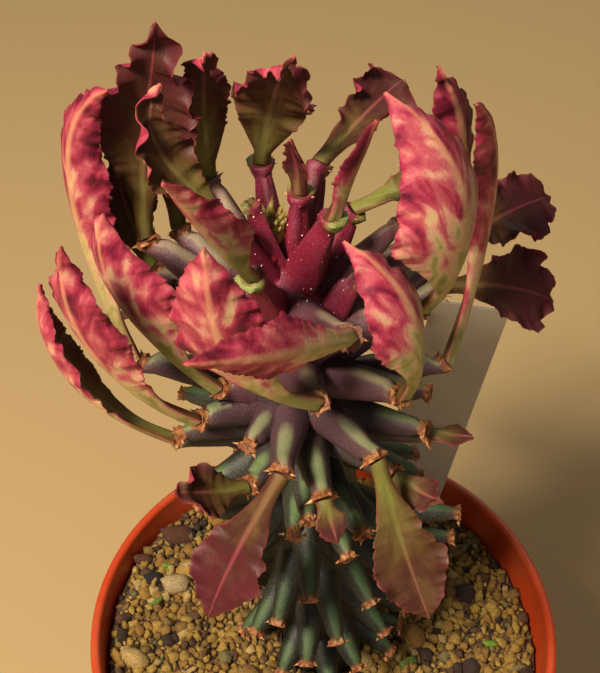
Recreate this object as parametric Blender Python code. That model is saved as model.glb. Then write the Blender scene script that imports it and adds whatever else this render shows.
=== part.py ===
"""A potted euphorbia: a thick stem of spiny tubercles with a crown of incurved, wavy-edged
leaves, standing in gritty soil in a round plastic pot, with a blank plant label behind it.

Metres, +Z up. The origin is the centre of the pot's underside, and -Y is the front.
Sizes below are in millimetres and degrees, and MM turns them into metres.
"""
import math
import random
from typing import NamedTuple

import bmesh
import bpy
from mathutils import Matrix, Vector

UP = Vector((0, 0, 1))
MM = 0.001
GAP = 0.3
SEED = 11

# Pot: a tapered cup with a rim band, a rounded lip and six drain holes round a solid centre
POT_SIDES = 40
POT_HEIGHT = 88.0
RIM_R = 50.0
BAND_R = 49.2
BAND_Z = 76.0
NECK_R = 47.4
BASE_R = 37.0
BASE_ROUND = 1.5
WALL = 1.2
BAND_STEP = 0.8
LIP = 2.1
LIP_ROUND = 1.0
LIP_EASE = 0.3
FLOOR = 2.2
DRAIN_COUNT = 6
DRAIN_SIDES = 12
DRAIN_R = 3.5
DRAIN_CIRCLE_R = 24.0
DRAIN_TURN = 13.0

# Soil: grit relief on top, a plain hole for the stem and a slot for the label
SOIL_MEAN_Z = 80.0
SOIL_TILT = 2.0
SOIL_RINGS = 10
GRIT_BUMP = 0.9
STEM_HOLE_END_Z = 50.0

# Stem: a column that leans to the left above the soil
STEM_SIDES = 14
STEM_FOOT_R = 8.6
STEM_R = 9.5
STEM_TOP_Z = 191.0
STEM_LEVELS = ((100.0, 9.5), (130.0, 9.5), (160.0, 9.5), (178.0, 8.0), (186.0, 6.0), (190.0, 3.0))
LEAN = 8.0
LEAN_FROM_Z = 84.0
LEAN_HEIGHT = 108.0

# Tubercles: tapered pegs, each ending in a spiny collar round a flat scar
TUBERCLE_SIDES = 6
TUBERCLE_ROOT_R = 3.1
TUBERCLE_NECK_R = 1.8
SCAR_R = 1.6
PRICKLE_R = 2.6
COLLAR = 1.2
ROOT_DEPTH = 0.5
LOW_DROP = 1.0
CROWN_DROP = 14.0
CROWN_FROM_Z = 150.0
CROWN_TO_Z = 200.0
GOLDEN_ANGLE = 137.508
BARE_COUNT = 62
BARE_LOW_Z = 91.0
BARE_HIGH_Z = 168.0
BARE_LOW_REACH = 17.0
BARE_HIGH_REACH = 24.0
BARE_LOW_DROOP = 5.0
BARE_HIGH_LIFT = 3.0
BARE_SAG = 8.0
BARE_TURNS = (0, 12, -12, 24, -24, 36, -36)
LEAF_CLEARANCE = 1.5
PEG_SPACING = 6.0

# Leaves: fleshy blades on narrow petioles, folded like a boat, with waved and toothed margins
PETIOLE_HALF_W = 1.4
PETIOLE_HALF_T = 0.9
BLADE_HALF_T = 0.5
KEEL = 0.5
STATIONS = 12
SHORT_STATIONS = 6
SHORT_LENGTH = 24.0
SPINE_STEPS = 48
CURL_POWER = 1.2
HOOK_POWER = 4
TIP_POWER = 1.35
WAVES = 6
TOOTH = 0.05

# Label: a blank strip with a pointed foot, leaning to the right behind the plant
LABEL_W = 16.0
LABEL_T = 0.8
LABEL_FOOT = Vector((19.4, 27.8, 46.0))
LABEL_TOP = Vector((38.0, 38.0, 144.0))
LABEL_POINT = 14.0


class Leaf(NamedTuple):
    """One leaf, seated on the tip of its tubercle."""
    name: str
    seat: tuple         # azimuth in degrees, then distance from the stem's axis and height
    heading: float      # direction that the petiole sets off in
    rise: float         # angle above the horizon at the petiole
    curl: float         # angle by which the blade turns inward by its tip
    swing: float        # angle by which the heading turns by its tip
    hook: float         # further angle by which the last stretch turns inward
    length: float
    width: float        # across the blade laid flat
    widest: float       # share of the length at which it is widest
    fold: float         # angle by which each half is folded up
    roll: float         # turn about its own midrib
    wave: float         # height of the margin's waves
    tone: str
    base: float = 1.0   # below 1, the blade widens lower down on its petiole


# Bare tubercles near the crown, as azimuth, distance from the stem's axis and height
CROWN_PEGS = ((150, 4, 201), (350, 12, 190), (302, 18, 190), (186, 17, 188), (12, 19, 196),
              (336, 24, 163), (295, 25, 151), (205, 22, 161), (248, 19, 168), (266, 20, 147),
              (355, 29, 130), (0, 28, 119))

LEAVES = (
    Leaf("leaf_left_far", (179, 26, 169), 144, 65, 40, 5, 45, 58, 13, 0.60, 55, 76, 0.8, "pink"),
    Leaf("leaf_left_keel", (213, 14, 171), 181, 45, 44, 0, 20, 41, 20, 0.62, 50, 45, 0.8, "pink"),
    Leaf("leaf_left_broad", (215, 19, 167), 201, 44, 55, 0, 0, 47, 14, 0.62, 40, 30, 1.3, "pink"),
    Leaf("leaf_left_low", (195, 22, 156), 185, 33, 72, 0, 0, 44, 12, 0.60, 50, 12, 1.1, "pink"),
    Leaf("leaf_front_shield", (283, 21, 182), 214, 35, 80, 0, -25, 44, 13, 0.66, 25, 50, 0.9, "pink"),
    Leaf("leaf_front_cross", (294, 25, 198), 244, 35, -15, -39, 0, 33, 9, 0.56, 37, 95, 0.6, "pink"),
    Leaf("leaf_front_right", (317, 24, 179), 330, 68, 104, 0, -6, 32, 16, 0.52, 40, 4, 0.8, "pink"),
    Leaf("leaf_right_great", (345, 22, 187), 333, 58, 98, 0, 6, 43, 24, 0.48, 50, -8, 0.9, "pink"),
    Leaf("leaf_right_mid", (26, 31, 189), 14, 82, 45, 8, -9, 31, 9.5, 0.55, 55, -67, 0.9, "pink"),
    Leaf("leaf_right_outer", (5, 26, 167), 60, 50, 88, -5, 0, 57, 12, 0.60, 50, -75, 0.6, "pink"),
    Leaf("leaf_back_high", (30, 30, 179), 45, 3, -27, 0, 0, 33, 13, 0.72, 12, 30, 1.3, "dark"),
    Leaf("leaf_back_low", (23, 28, 176), 29, -20, -24, 0, 0, 31, 16, 0.70, 12, 45, 1.1, "dark"),
    Leaf("leaf_back_great", (161, 23, 190), 148, 91, 26, 0, -20, 41, 15, 0.62, 25, -55, 1.2, "dark"),
    Leaf("leaf_back_green", (127, 19, 196), 99, 87, 57, 0, 0, 34, 8, 0.55, 35, 0, 0.8, "dark", 0.5),
    Leaf("leaf_back_mid", (100, 14, 200), 108, 107, 30, 0, 0, 34, 11.5, 0.62, 20, -28, 1.1, "dark", 0.5),
    Leaf("leaf_back_right", (64, 15, 200), 52, 13, -6, 0, -8, 23, 12, 0.78, 50, 20, 1.2, "dark"),
    Leaf("leaf_inner_curl", (213, 7, 201), 182, 50, 14, 0, 80, 29, 9, 0.62, 45, -50, 0.8, "dark"),
    Leaf("leaf_inner_pink", (254, 12, 199), 241, 55, 11, 0, -12, 35, 12, 0.58, 50, 0, 0.6, "pink"),
    Leaf("leaf_young_left", (60, 7, 200), 60, 92, 28, 0, 0, 12, 4, 0.50, 40, 0, 0.2, "pink"),
    Leaf("leaf_young_right", (340, 9, 203), 330, 72, 0, 0, 0, 20, 6, 0.50, 50, 0, 0.3, "pink"),
    Leaf("leaf_droop_left", (266, 24, 169), 219, -52, -22, -11, 0, 31, 11.5, 0.66, 12, -32, 0.7, "dark"),
    Leaf("leaf_droop_right", (302, 25, 169), 309, -66, 4, 7, 0, 32, 12, 0.68, 12, 28, 0.7, "dark"),
    Leaf("leaf_stub_left", (239, 17, 154), 219, 29, 14, 0, 0, 17, 9, 0.60, 20, -40, 0.7, "dark"),
    Leaf("leaf_stub_right", (315, 23, 159), 313, 2, 20, 5, 0, 10, 6, 0.60, 20, 20, 0.4, "dark"),
    Leaf("leaf_bud_right", (342, 24, 159), 345, 9, 0, 0, 0, 7, 4.5, 0.50, 20, 0, 0.1, "dark"),
    Leaf("leaf_bud_front", (281, 24, 162), 290, -42, 5, 5, 0, 7, 5, 0.50, 20, 0, 0.1, "dark"),
    Leaf("leaf_shade_left", (157, 24, 182), 147, 62, 33, 0, 0, 22, 11, 0.60, 30, -30, 0.8, "dark"),
    Leaf("leaf_shade_mid", (142, 22, 187), 110, 75, 20, 0, 0, 26, 8, 0.60, 30, 0, 0.6, "dark"),
    Leaf("leaf_mid_green", (27, 13, 197), 8, 20, 0, 0, 0, 17, 6, 0.60, 45, 0, 0.4, "dark"),
    Leaf("leaf_rear_left", (140, 24, 165), 128, -25, -30, 0, 0, 34, 14, 0.66, 15, 0, 0.9, "dark"),
    Leaf("leaf_rear_mid", (98, 25, 170), 98, -15, -40, 0, 0, 38, 15, 0.66, 15, 0, 0.9, "dark"),
    Leaf("leaf_rear_right", (60, 24, 160), 64, -25, -35, 0, 0, 34, 13, 0.66, 15, 0, 0.9, "dark"),
)


def clear_scene():
    """Remove whatever objects the file starts with."""
    for thing in list(bpy.data.objects):
        bpy.data.objects.remove(thing, do_unlink=True)


def material(name, colour, roughness):
    """A Principled material with a plain colour."""
    made = bpy.data.materials.new(name)
    made.use_nodes = True
    shader = made.node_tree.nodes["Principled BSDF"]
    shader.inputs["Base Color"].default_value = (*colour, 1.0)
    shader.inputs["Roughness"].default_value = roughness
    shader.inputs["Metallic"].default_value = 0.0
    return made


def new_object(name, mesh, finish, smooth_below=50.0):
    """Link a mesh as an object, shaded smooth except at sharp edges."""
    mesh.materials.append(finish)
    mesh.shade_smooth()
    mesh.set_sharp_from_angle(angle=math.radians(smooth_below))
    thing = bpy.data.objects.new(name, mesh)
    bpy.context.scene.collection.objects.link(thing)
    return thing


def mesh_from(name, points, faces):
    """A closed mesh in metres from points in millimetres, with its faces turned outwards."""
    mesh = bpy.data.meshes.new(name)
    mesh.from_pydata([Vector(p) * MM for p in points], [], faces)
    shape = bmesh.new()
    shape.from_mesh(mesh)
    bmesh.ops.recalc_face_normals(shape, faces=shape.faces)
    shape.to_mesh(mesh)
    shape.free()
    return mesh


def smooth_step(t):
    """Ease from 0 to 1."""
    t = min(1.0, max(0.0, t))
    return t * t * (3.0 - 2.0 * t)


def lerp(a, b, t):
    """Straight-line blend of two values."""
    return a + (b - a) * t


def compass(azimuth):
    """Horizontal unit vector at an azimuth in degrees, counted from +X towards +Y."""
    return Vector((math.cos(math.radians(azimuth)), math.sin(math.radians(azimuth)), 0.0))


def column_faces(sides, rings):
    """Triangles that join a first point, rings of points and a last point."""
    last = 1 + rings * sides
    faces = []
    for k in range(sides):
        after = (k + 1) % sides
        faces.append((0, 1 + k, 1 + after))
        faces.append((last, last - sides + after, last - sides + k))
        for ring in range(rings - 1):
            low = 1 + ring * sides
            high = low + sides
            faces.append((low + k, high + k, high + after))
            faces.append((low + k, high + after, low + after))
    return faces


def turned(profile, sides):
    """Points and faces of a solid turned about Z from a profile that starts and ends on it."""
    points = [Vector((0, 0, profile[0][1]))]
    for radius, height in profile[1:-1]:
        for k in range(sides):
            points.append(compass(360.0 * k / sides) * radius + Vector((0, 0, height)))
    points.append(Vector((0, 0, profile[-1][1])))
    return points, column_faces(sides, len(profile) - 2)


def inner_wall_r(height):
    """Inside radius of the pot's tapered wall at a height."""
    outer = lerp(BASE_R, NECK_R, height / BAND_Z)
    return outer - WALL


def pot_profile():
    """The pot's section, from the underside's centre up the outside, over the lip and down."""
    lip_mid = RIM_R - LIP / 2
    lip_in = RIM_R - LIP
    below = POT_HEIGHT - LIP_ROUND
    bevel = POT_HEIGHT - LIP_EASE
    outside = [(0, 0), (BASE_R - BASE_ROUND, 0), (BASE_R, BASE_ROUND), (NECK_R, BAND_Z - LIP_EASE),
               (BAND_R, BAND_Z)]
    lip = [(RIM_R, below), (RIM_R - LIP_EASE, bevel), (lip_mid, POT_HEIGHT),
           (lip_in + LIP_EASE, bevel), (lip_in, below)]
    inside = [(inner_wall_r(BAND_Z) + BAND_STEP, BAND_Z + BAND_STEP), (inner_wall_r(BAND_Z), BAND_Z - 1.0),
              (inner_wall_r(FLOOR), FLOOR), (0, FLOOR)]
    return outside + lip + inside


def cutter(name, mesh, place):
    """An object that only cuts, drawn as wire and left out of renders."""
    tool = bpy.data.objects.new(name, mesh)
    tool.matrix_world = place
    tool.hide_render = True
    tool.display_type = "WIRE"
    bpy.context.scene.collection.objects.link(tool)
    return tool


def cut(target, tool):
    """Cut a tool's shape out of a target."""
    step = target.modifiers.new("cut_" + tool.name, "BOOLEAN")
    step.operation = "DIFFERENCE"
    step.solver = "EXACT"
    step.object = tool


def make_pot(finish):
    """The pot, with its drain holes."""
    points, faces = turned(pot_profile(), POT_SIDES)
    pot = new_object("pot", mesh_from("pot", points, faces), finish, 35.0)
    drill = bmesh.new()
    bmesh.ops.create_cone(drill, cap_ends=True, segments=DRAIN_SIDES, radius1=DRAIN_R * MM,
                          radius2=DRAIN_R * MM, depth=4 * FLOOR * MM)
    drill_mesh = bpy.data.meshes.new("drain")
    drill.to_mesh(drill_mesh)
    drill.free()
    for k in range(DRAIN_COUNT):
        spot = compass(DRAIN_TURN + 360.0 * k / DRAIN_COUNT) * DRAIN_CIRCLE_R * MM
        cut(pot, cutter(f"drain_{k}", drill_mesh, Matrix.Translation(spot)))
    return pot


def soil_height(radius, azimuth):
    """Mean height of the soil, which lies a little higher on the left."""
    return SOIL_MEAN_Z - SOIL_TILT * math.cos(math.radians(azimuth)) * radius / RIM_R


def make_soil(finish):
    """The soil: relief of coarse grit round a plain hole that takes the stem."""
    draw = random.Random(SEED)
    hole_r = STEM_FOOT_R + 1.5 * GAP
    edge_r = inner_wall_r(BAND_Z) + BAND_STEP - 2 * GAP
    floor_r = inner_wall_r(FLOOR) - GAP
    rings = [(hole_r, None, STEM_HOLE_END_Z - GAP)]
    for ring in range(SOIL_RINGS + 1):
        rings.append((lerp(hole_r, edge_r, ring / SOIL_RINGS), ring, None))
    rings.append((inner_wall_r(BAND_Z - 2.0) - GAP, None, BAND_Z - 2.0))
    rings.append((floor_r, None, FLOOR + GAP))
    points = [Vector((0, 0, STEM_HOLE_END_Z - GAP))]
    for radius, ring, flat in rings:
        for k in range(POT_SIDES):
            azimuth = 360.0 * k / POT_SIDES
            height = flat
            if ring is not None:
                bump = draw.uniform(-GRIT_BUMP, GRIT_BUMP)
                height = soil_height(radius, azimuth) + bump
            points.append(compass(azimuth) * radius + Vector((0, 0, height)))
    points.append(Vector((0, 0, FLOOR + GAP)))
    faces = column_faces(POT_SIDES, len(rings))
    soil = new_object("soil", mesh_from("soil", points, faces), finish, 20.0)
    slot = strip_mesh("label_slot", LABEL_W / 2 + GAP, LABEL_T / 2 + GAP, -GAP, 0.0)
    cut(soil, cutter("label_slot", slot, label_place()))
    return soil


def label_place():
    """Where the label stands: its foot in the soil, its length along its own Z."""
    up = (LABEL_TOP - LABEL_FOOT).normalized()
    across = Vector((1, 0, 0))
    across = (across - up * across.dot(up)).normalized()
    turn = Matrix((across, up.cross(across), up)).transposed().to_4x4()
    edge_to_middle = across * -LABEL_W / 2
    return Matrix.Translation((LABEL_FOOT + edge_to_middle) * MM) @ turn


def strip_mesh(name, half_w, half_t, low, point):
    """A flat strip up to the label's top, with a foot that narrows over a given length."""
    high = (LABEL_TOP - LABEL_FOOT).length
    shoulder = low + point
    tip_w = half_w if point == 0 else 1.0
    outline = [(-tip_w, low), (tip_w, low)]
    if point:
        outline += [(half_w, shoulder)]
    outline += [(half_w, high), (-half_w, high)]
    if point:
        outline += [(-half_w, shoulder)]
    count = len(outline)
    points = [Vector((x, -half_t, z)) for x, z in outline]
    points += [Vector((x, half_t, z)) for x, z in outline]
    faces = [tuple(range(count)), tuple(range(2 * count - 1, count - 1, -1))]
    for k in range(count):
        after = (k + 1) % count
        faces.append((k, after, count + after, count + k))
    return mesh_from(name, points, faces)


def make_label(finish):
    """The blank label."""
    mesh = strip_mesh("label", LABEL_W / 2, LABEL_T / 2, 0.0, LABEL_POINT)
    label = new_object("label", mesh, finish, 30.0)
    label.matrix_world = label_place()
    return label


def axis_at(height):
    """Centre of the stem at a height."""
    lean = LEAN * max(0.0, height - LEAN_FROM_Z) / LEAN_HEIGHT
    return Vector((-lean, 0.0, height))


def seat_point(seat):
    """Tip of a tubercle from its azimuth, reach and height."""
    azimuth, reach, height = seat
    return axis_at(height) + compass(azimuth) * reach


def root_point(seat):
    """Where a leaf-bearing tubercle leaves the stem: well below its tip near the top."""
    azimuth, reach, height = seat
    share = (height - CROWN_FROM_Z) / (CROWN_TO_Z - CROWN_FROM_Z)
    drop = lerp(LOW_DROP, CROWN_DROP, smooth_step(share))
    depth = min(STEM_R * ROOT_DEPTH, reach * 0.4)
    return axis_at(height - drop) + compass(azimuth) * depth


def direction(heading, rise):
    """Unit vector at a heading and an angle above the horizon."""
    level = compass(heading) * math.cos(math.radians(rise))
    return level + Vector((0, 0, math.sin(math.radians(rise))))


def seat_normal(leaf):
    """Outward normal of the scar under a leaf: halfway between tubercle and petiole."""
    peg = (seat_point(leaf.seat) - root_point(leaf.seat)).normalized()
    return (peg + direction(leaf.heading, leaf.rise)).normalized()


def leaf_spine(leaf):
    """Points of the midrib from the petiole's foot to the tip."""
    spot = seat_point(leaf.seat) + seat_normal(leaf) * GAP
    spine = [spot.copy()]
    for step in range(SPINE_STEPS):
        s = (step + 0.5) / SPINE_STEPS
        heading, rise = leaf_angles(leaf, s)
        spot = spot + direction(heading, rise) * (leaf.length / SPINE_STEPS)
        spine.append(spot.copy())
    return spine


def leaf_angles(leaf, s):
    """Heading and rise of the midrib at a share of its length."""
    rise = leaf.rise + leaf.curl * s ** CURL_POWER + leaf.hook * s ** HOOK_POWER
    return leaf.heading + leaf.swing * s, rise


def half_width(leaf, s):
    """Half the blade's width: a narrow petiole, the widest place, then a pointed tip."""
    widening = smooth_step((s - 0.08) / (leaf.widest - 0.08)) ** leaf.base
    width = lerp(PETIOLE_HALF_W, leaf.width / 2, widening)
    past = max(0.0, (s - leaf.widest) / (1.0 - leaf.widest))
    return width * (1.0 - past ** TIP_POWER)


def leaf_frame(leaf, s):
    """Directions across the blade and out of its inner face at a share of its length."""
    heading, rise = leaf_angles(leaf, s)
    along = direction(heading, rise)
    inner = direction(heading, rise + 90.0)
    across = along.cross(inner)
    turn = Matrix.Rotation(math.radians(leaf.roll), 3, along)
    return turn @ across, turn @ inner


def margin_wave(leaf, number, side, s):
    """How far the margin stands out of the blade, as a share of the leaf's wave height."""
    swell = smooth_step((s - 0.3) / 0.25) * smooth_step((1.0 - s) / 0.12)
    phase = math.pi if side < 0 else 0.0
    ripple = math.cos(2 * math.pi * WAVES * s + phase)
    drift = 0.4 * math.cos(2 * math.pi * (WAVES - 2) * s + number + side)
    return leaf.wave * swell * (ripple + drift)


def blade_point(leaf, number, centre, frame, s, u, face):
    """A point of the blade: u runs from margin to margin, face is 1 inside and -1 outside."""
    across, inner = frame
    tooth = 1.0 + TOOTH * math.cos(2 * math.pi * WAVES * s + number) * smooth_step((s - 0.3) / 0.2)
    half = half_width(leaf, s) * (tooth if abs(u) == 1 else 1.0)
    bend = math.radians(leaf.fold) * smooth_step(s / 0.35) + 0.02
    angle = u * bend
    out = inner * math.cos(angle) - across * math.sin(angle)
    middle = centre + across * (half * math.sin(angle) / bend)
    middle = middle + inner * (half * (1.0 - math.cos(angle)) / bend)
    middle = middle + out * margin_wave(leaf, number, math.copysign(1, u), s) * u * u
    flesh = lerp(PETIOLE_HALF_T, BLADE_HALF_T, smooth_step(s / 0.45)) * (1.0 - 0.3 * s)
    if face < 0:
        flesh += KEEL * max(0.0, 1.0 - 2.0 * abs(u)) * (1.0 - s)
    return middle + out * face * flesh * math.sqrt(1.0 - u * u)


def make_leaf(leaf, number, finish):
    """One leaf: rings of eight points that share their margins, closed by a point at the tip."""
    spine = leaf_spine(leaf)
    stations = SHORT_STATIONS if leaf.length < SHORT_LENGTH else STATIONS
    columns = [(-1, 1), (-0.5, 1), (0, 1), (0.5, 1), (1, 1), (0.5, -1), (0, -1), (-0.5, -1)]
    points = []
    for station in range(stations):
        s = station / stations
        frame = leaf_frame(leaf, s)
        if station == 0:
            normal = seat_normal(leaf)
            frame = [(v - normal * v.dot(normal)).normalized() for v in frame]
        centre = spine[station * SPINE_STEPS // stations]
        for u, face in columns:
            points.append(blade_point(leaf, number, centre, frame, s, u, face))
    points.append(spine[-1])
    count = len(columns)
    half = count // 2
    faces = [(0, 1, 7), (1, 2, 7), (2, 6, 7), (2, 3, 6), (3, 5, 6), (3, 4, 5)]
    for station in range(stations - 1):
        low = station * count
        high = low + count
        for k in range(count):
            after = (k + 1) % count
            if k < half:
                faces.append((low + k, low + after, high + after))
                faces.append((low + k, high + after, high + k))
            else:
                faces.append((low + k, low + after, high + k))
                faces.append((low + after, high + after, high + k))
    last = len(points) - 1
    for k in range(count):
        faces.append((last - count + k, last - count + (k + 1) % count, last))
    return new_object(leaf.name, mesh_from(leaf.name, points, faces), finish, 60.0)


def tubercle_mesh(name, root, tip, normal):
    """One tubercle from inside the stem to its scar, with three prickles on its collar."""
    peg = (tip - root).normalized()
    side = normal.cross(UP).normalized()
    collar = tip - peg * COLLAR
    rings = [(root, peg, TUBERCLE_ROOT_R, TUBERCLE_ROOT_R),
             (collar, (peg + normal).normalized(), TUBERCLE_NECK_R, TUBERCLE_NECK_R),
             (tip - normal * GAP, normal, PRICKLE_R, TUBERCLE_NECK_R + 0.1),
             (tip, normal, SCAR_R, SCAR_R)]
    points = []
    for centre, facing, even_r, odd_r in rings:
        across = (side - facing * side.dot(facing)).normalized()
        other = facing.cross(across)
        for k in range(TUBERCLE_SIDES):
            turn = 2 * math.pi * k / TUBERCLE_SIDES
            radius = even_r if k % 2 == 0 else odd_r
            points.append(centre + (across * math.cos(turn) + other * math.sin(turn)) * radius)
    faces = [tuple(range(TUBERCLE_SIDES))]
    for ring in range(len(rings) - 1):
        low = ring * TUBERCLE_SIDES
        high = low + TUBERCLE_SIDES
        for k in range(TUBERCLE_SIDES):
            after = (k + 1) % TUBERCLE_SIDES
            faces.append((low + k, high + k, high + after))
            faces.append((low + k, high + after, low + after))
    last = (len(rings) - 1) * TUBERCLE_SIDES
    faces.append(tuple(range(last, last + TUBERCLE_SIDES)))
    return mesh_from(name, points, faces)


def gap_between(a, b, line):
    """Shortest distance from the segment a to b, sampled, to the points of a line."""
    samples = [a.lerp(b, k / 4) for k in range(5)]
    return min((p - q).length for p in samples for q in line)


def bare_seats():
    """Seats of the bare tubercles: a spiral by the golden angle, turned clear of the leaves."""
    spines = [(leaf, leaf_spine(leaf)[::4]) for leaf in LEAVES]
    taken = [(root_point(seat), seat_point(seat)) for seat in CROWN_PEGS]
    taken += [(root_point(leaf.seat), seat_point(leaf.seat)) for leaf in LEAVES]
    clear = PRICKLE_R + LEAF_CLEARANCE
    seats = []
    for k in range(BARE_COUNT):
        t = k / (BARE_COUNT - 1)
        root_z = lerp(BARE_LOW_Z, BARE_HIGH_Z, t)
        reach = lerp(BARE_LOW_REACH, BARE_HIGH_REACH, t)
        rise = lerp(-BARE_LOW_DROOP, BARE_HIGH_LIFT, t) - BARE_SAG * math.sin(math.pi * t)
        for turn in BARE_TURNS:
            azimuth = GOLDEN_ANGLE * k + turn
            root = axis_at(root_z) + compass(azimuth) * STEM_R * ROOT_DEPTH
            tip = axis_at(root_z + rise) + compass(azimuth) * reach
            near_leaf = any(gap_between(root, tip, spine) < clear + leaf.width / 2
                            for leaf, spine in spines)
            near_peg = any((tip - other_tip).length < PEG_SPACING for _, other_tip in taken)
            if not near_leaf and not near_peg:
                taken.append((root, tip))
                seats.append((root, tip))
                break
    return seats


def stem_core_mesh():
    """The column: plain below the soil line, then leaning, with a rounded top."""
    levels = [(STEM_HOLE_END_Z, STEM_FOOT_R), (LEAN_FROM_Z, STEM_FOOT_R), *STEM_LEVELS]
    points = [axis_at(STEM_HOLE_END_Z)]
    for height, radius in levels:
        for k in range(STEM_SIDES):
            points.append(axis_at(height) + compass(360.0 * k / STEM_SIDES) * radius)
    points.append(axis_at(STEM_TOP_Z))
    return mesh_from("stem", points, column_faces(STEM_SIDES, len(levels)))


def make_stem(finish):
    """The stem and all its tubercles, joined in one body."""
    stem = new_object("stem", stem_core_mesh(), finish, 40.0)
    pegs = bpy.data.collections.new("tubercles")
    bpy.context.scene.collection.children.link(pegs)
    places = [(root_point(leaf.seat), seat_point(leaf.seat), seat_normal(leaf)) for leaf in LEAVES]
    bare = [(root_point(seat), seat_point(seat)) for seat in CROWN_PEGS] + bare_seats()
    places += [(root, tip, (tip - root).normalized()) for root, tip in bare]
    for number, (root, tip, normal) in enumerate(places):
        mesh = tubercle_mesh(f"tubercle_{number}", root, tip, normal)
        pegs.objects.link(bpy.data.objects.new(f"tubercle_{number}", mesh))
    join = stem.modifiers.new("join", "BOOLEAN")
    join.operation = "UNION"
    join.solver = "EXACT"
    join.operand_type = "COLLECTION"
    join.collection = pegs
    bpy.context.view_layer.update()
    graph = bpy.context.evaluated_depsgraph_get()
    joined = bpy.data.meshes.new_from_object(stem.evaluated_get(graph))
    stem.modifiers.clear()
    stem.data = joined
    for peg in list(pegs.objects):
        bpy.data.objects.remove(peg, do_unlink=True)
    bpy.data.collections.remove(pegs)
    return stem


def main():
    """Build the pot, the soil, the label, the stem and every leaf."""
    clear_scene()
    make_pot(material("orange_plastic", (0.55, 0.10, 0.03), 0.45))
    make_soil(material("grit", (0.33, 0.22, 0.11), 0.95))
    make_label(material("white_plastic", (0.75, 0.74, 0.70), 0.4))
    make_stem(material("stem_skin", (0.12, 0.13, 0.08), 0.6))
    tones = {"pink": material("leaf_outside", (0.52, 0.09, 0.13), 0.4),
             "dark": material("leaf_inside", (0.13, 0.06, 0.03), 0.4)}
    for number, leaf in enumerate(LEAVES):
        make_leaf(leaf, number, tones[leaf.tone])


main()
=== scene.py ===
"""The looks of a potted euphorbia: fine leaves, a tubercled stem, grit, a pot and a blank label.

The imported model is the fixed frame. Each class builds one sub-assembly by the same laws as the
model itself, in millimetres and degrees, and writes finished meshes in the frame's metres.
"""
import logging
import math
import random
from contextlib import contextmanager
from dataclasses import dataclass
from enum import Enum
from functools import partial
from typing import Callable, Iterator, Sequence

import bmesh
import bpy
from mathutils import Matrix, Vector, noise


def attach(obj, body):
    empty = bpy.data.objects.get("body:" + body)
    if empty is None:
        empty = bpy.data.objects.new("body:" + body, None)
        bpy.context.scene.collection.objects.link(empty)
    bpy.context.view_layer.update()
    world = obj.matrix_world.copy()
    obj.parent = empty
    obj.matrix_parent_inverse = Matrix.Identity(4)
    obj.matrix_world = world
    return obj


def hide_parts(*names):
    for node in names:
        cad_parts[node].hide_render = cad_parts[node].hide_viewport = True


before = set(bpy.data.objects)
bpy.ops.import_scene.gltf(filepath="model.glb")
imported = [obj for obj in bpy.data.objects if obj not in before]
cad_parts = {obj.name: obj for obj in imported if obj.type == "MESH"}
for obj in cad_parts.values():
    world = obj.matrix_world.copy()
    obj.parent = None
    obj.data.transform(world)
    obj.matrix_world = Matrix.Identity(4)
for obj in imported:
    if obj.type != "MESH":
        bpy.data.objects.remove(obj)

LOG = logging.getLogger("potted_euphorbia")
MM = 0.001
UP = Vector((0.0, 0.0, 1.0))
GAP = 0.3
SEED = 11

Piece = bpy.types.Object
Finish = bpy.types.Material

# Settings of nodes. A mix of colours takes its share at input 0 and its colours at 6 and 7. A map
# range takes its value at 0, the range that it comes from at 1 and 2, and its new range at 3 and 4.
SCALED = {"operation": "MULTIPLY_ADD"}
TIMES = {"operation": "MULTIPLY"}
POWER = {"operation": "POWER"}
EASED = {"interpolation_type": "SMOOTHSTEP"}
COLOURS = {"data_type": "RGBA"}
NUMBER = {"data_type": "FLOAT"}
VECTOR = {"data_type": "FLOAT_VECTOR"}
SOCKETS = {float: "NodeSocketFloat", Piece: "NodeSocketObject", Finish: "NodeSocketMaterial",
           bpy.types.Collection: "NodeSocketCollection"}


class Tone(Enum):
    """Which face of a leaf gives it its look, and with it the record's slot."""
    PINK = "leaf_outside"
    DARK = "leaf_inside"


def smooth_step(t: float) -> float:
    """Ease from 0 to 1."""
    t = min(1.0, max(0.0, t))
    return t * t * (3.0 - 2.0 * t)


def lerp(a: float, b: float, t: float) -> float:
    """Straight-line blend of two values."""
    return a + (b - a) * t


def compass(azimuth: float) -> Vector:
    """Horizontal unit vector at an azimuth in degrees, counted from +X towards +Y."""
    return Vector((math.cos(math.radians(azimuth)), math.sin(math.radians(azimuth)), 0.0))


def direction(heading: float, rise: float) -> Vector:
    """Unit vector at a heading and an angle above the horizon."""
    level = compass(heading) * math.cos(math.radians(rise))
    return level + UP * math.sin(math.radians(rise))


def arc(steps: int) -> list[tuple[float, float]]:
    """Cosine and sine of 0, 15, 30 degrees and so on, for a round corner."""
    return [(math.cos(math.radians(15 * k)), math.sin(math.radians(15 * k))) for k in range(steps + 1)]


def linear(code: str) -> tuple[float, float, float, float]:
    """Turn an sRGB hex colour into linear red, green, blue and alpha.

    Args:
        code: Six hex digits after a hash.

    Returns:
        The colour as Blender's sockets take it.
    """
    parts = [int(code[k:k + 2], 16) / 255.0 for k in (1, 3, 5)]
    made = [p / 12.92 if p <= 0.04045 else ((p + 0.055) / 1.055) ** 2.4 for p in parts]
    return (*made, 1.0)


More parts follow.
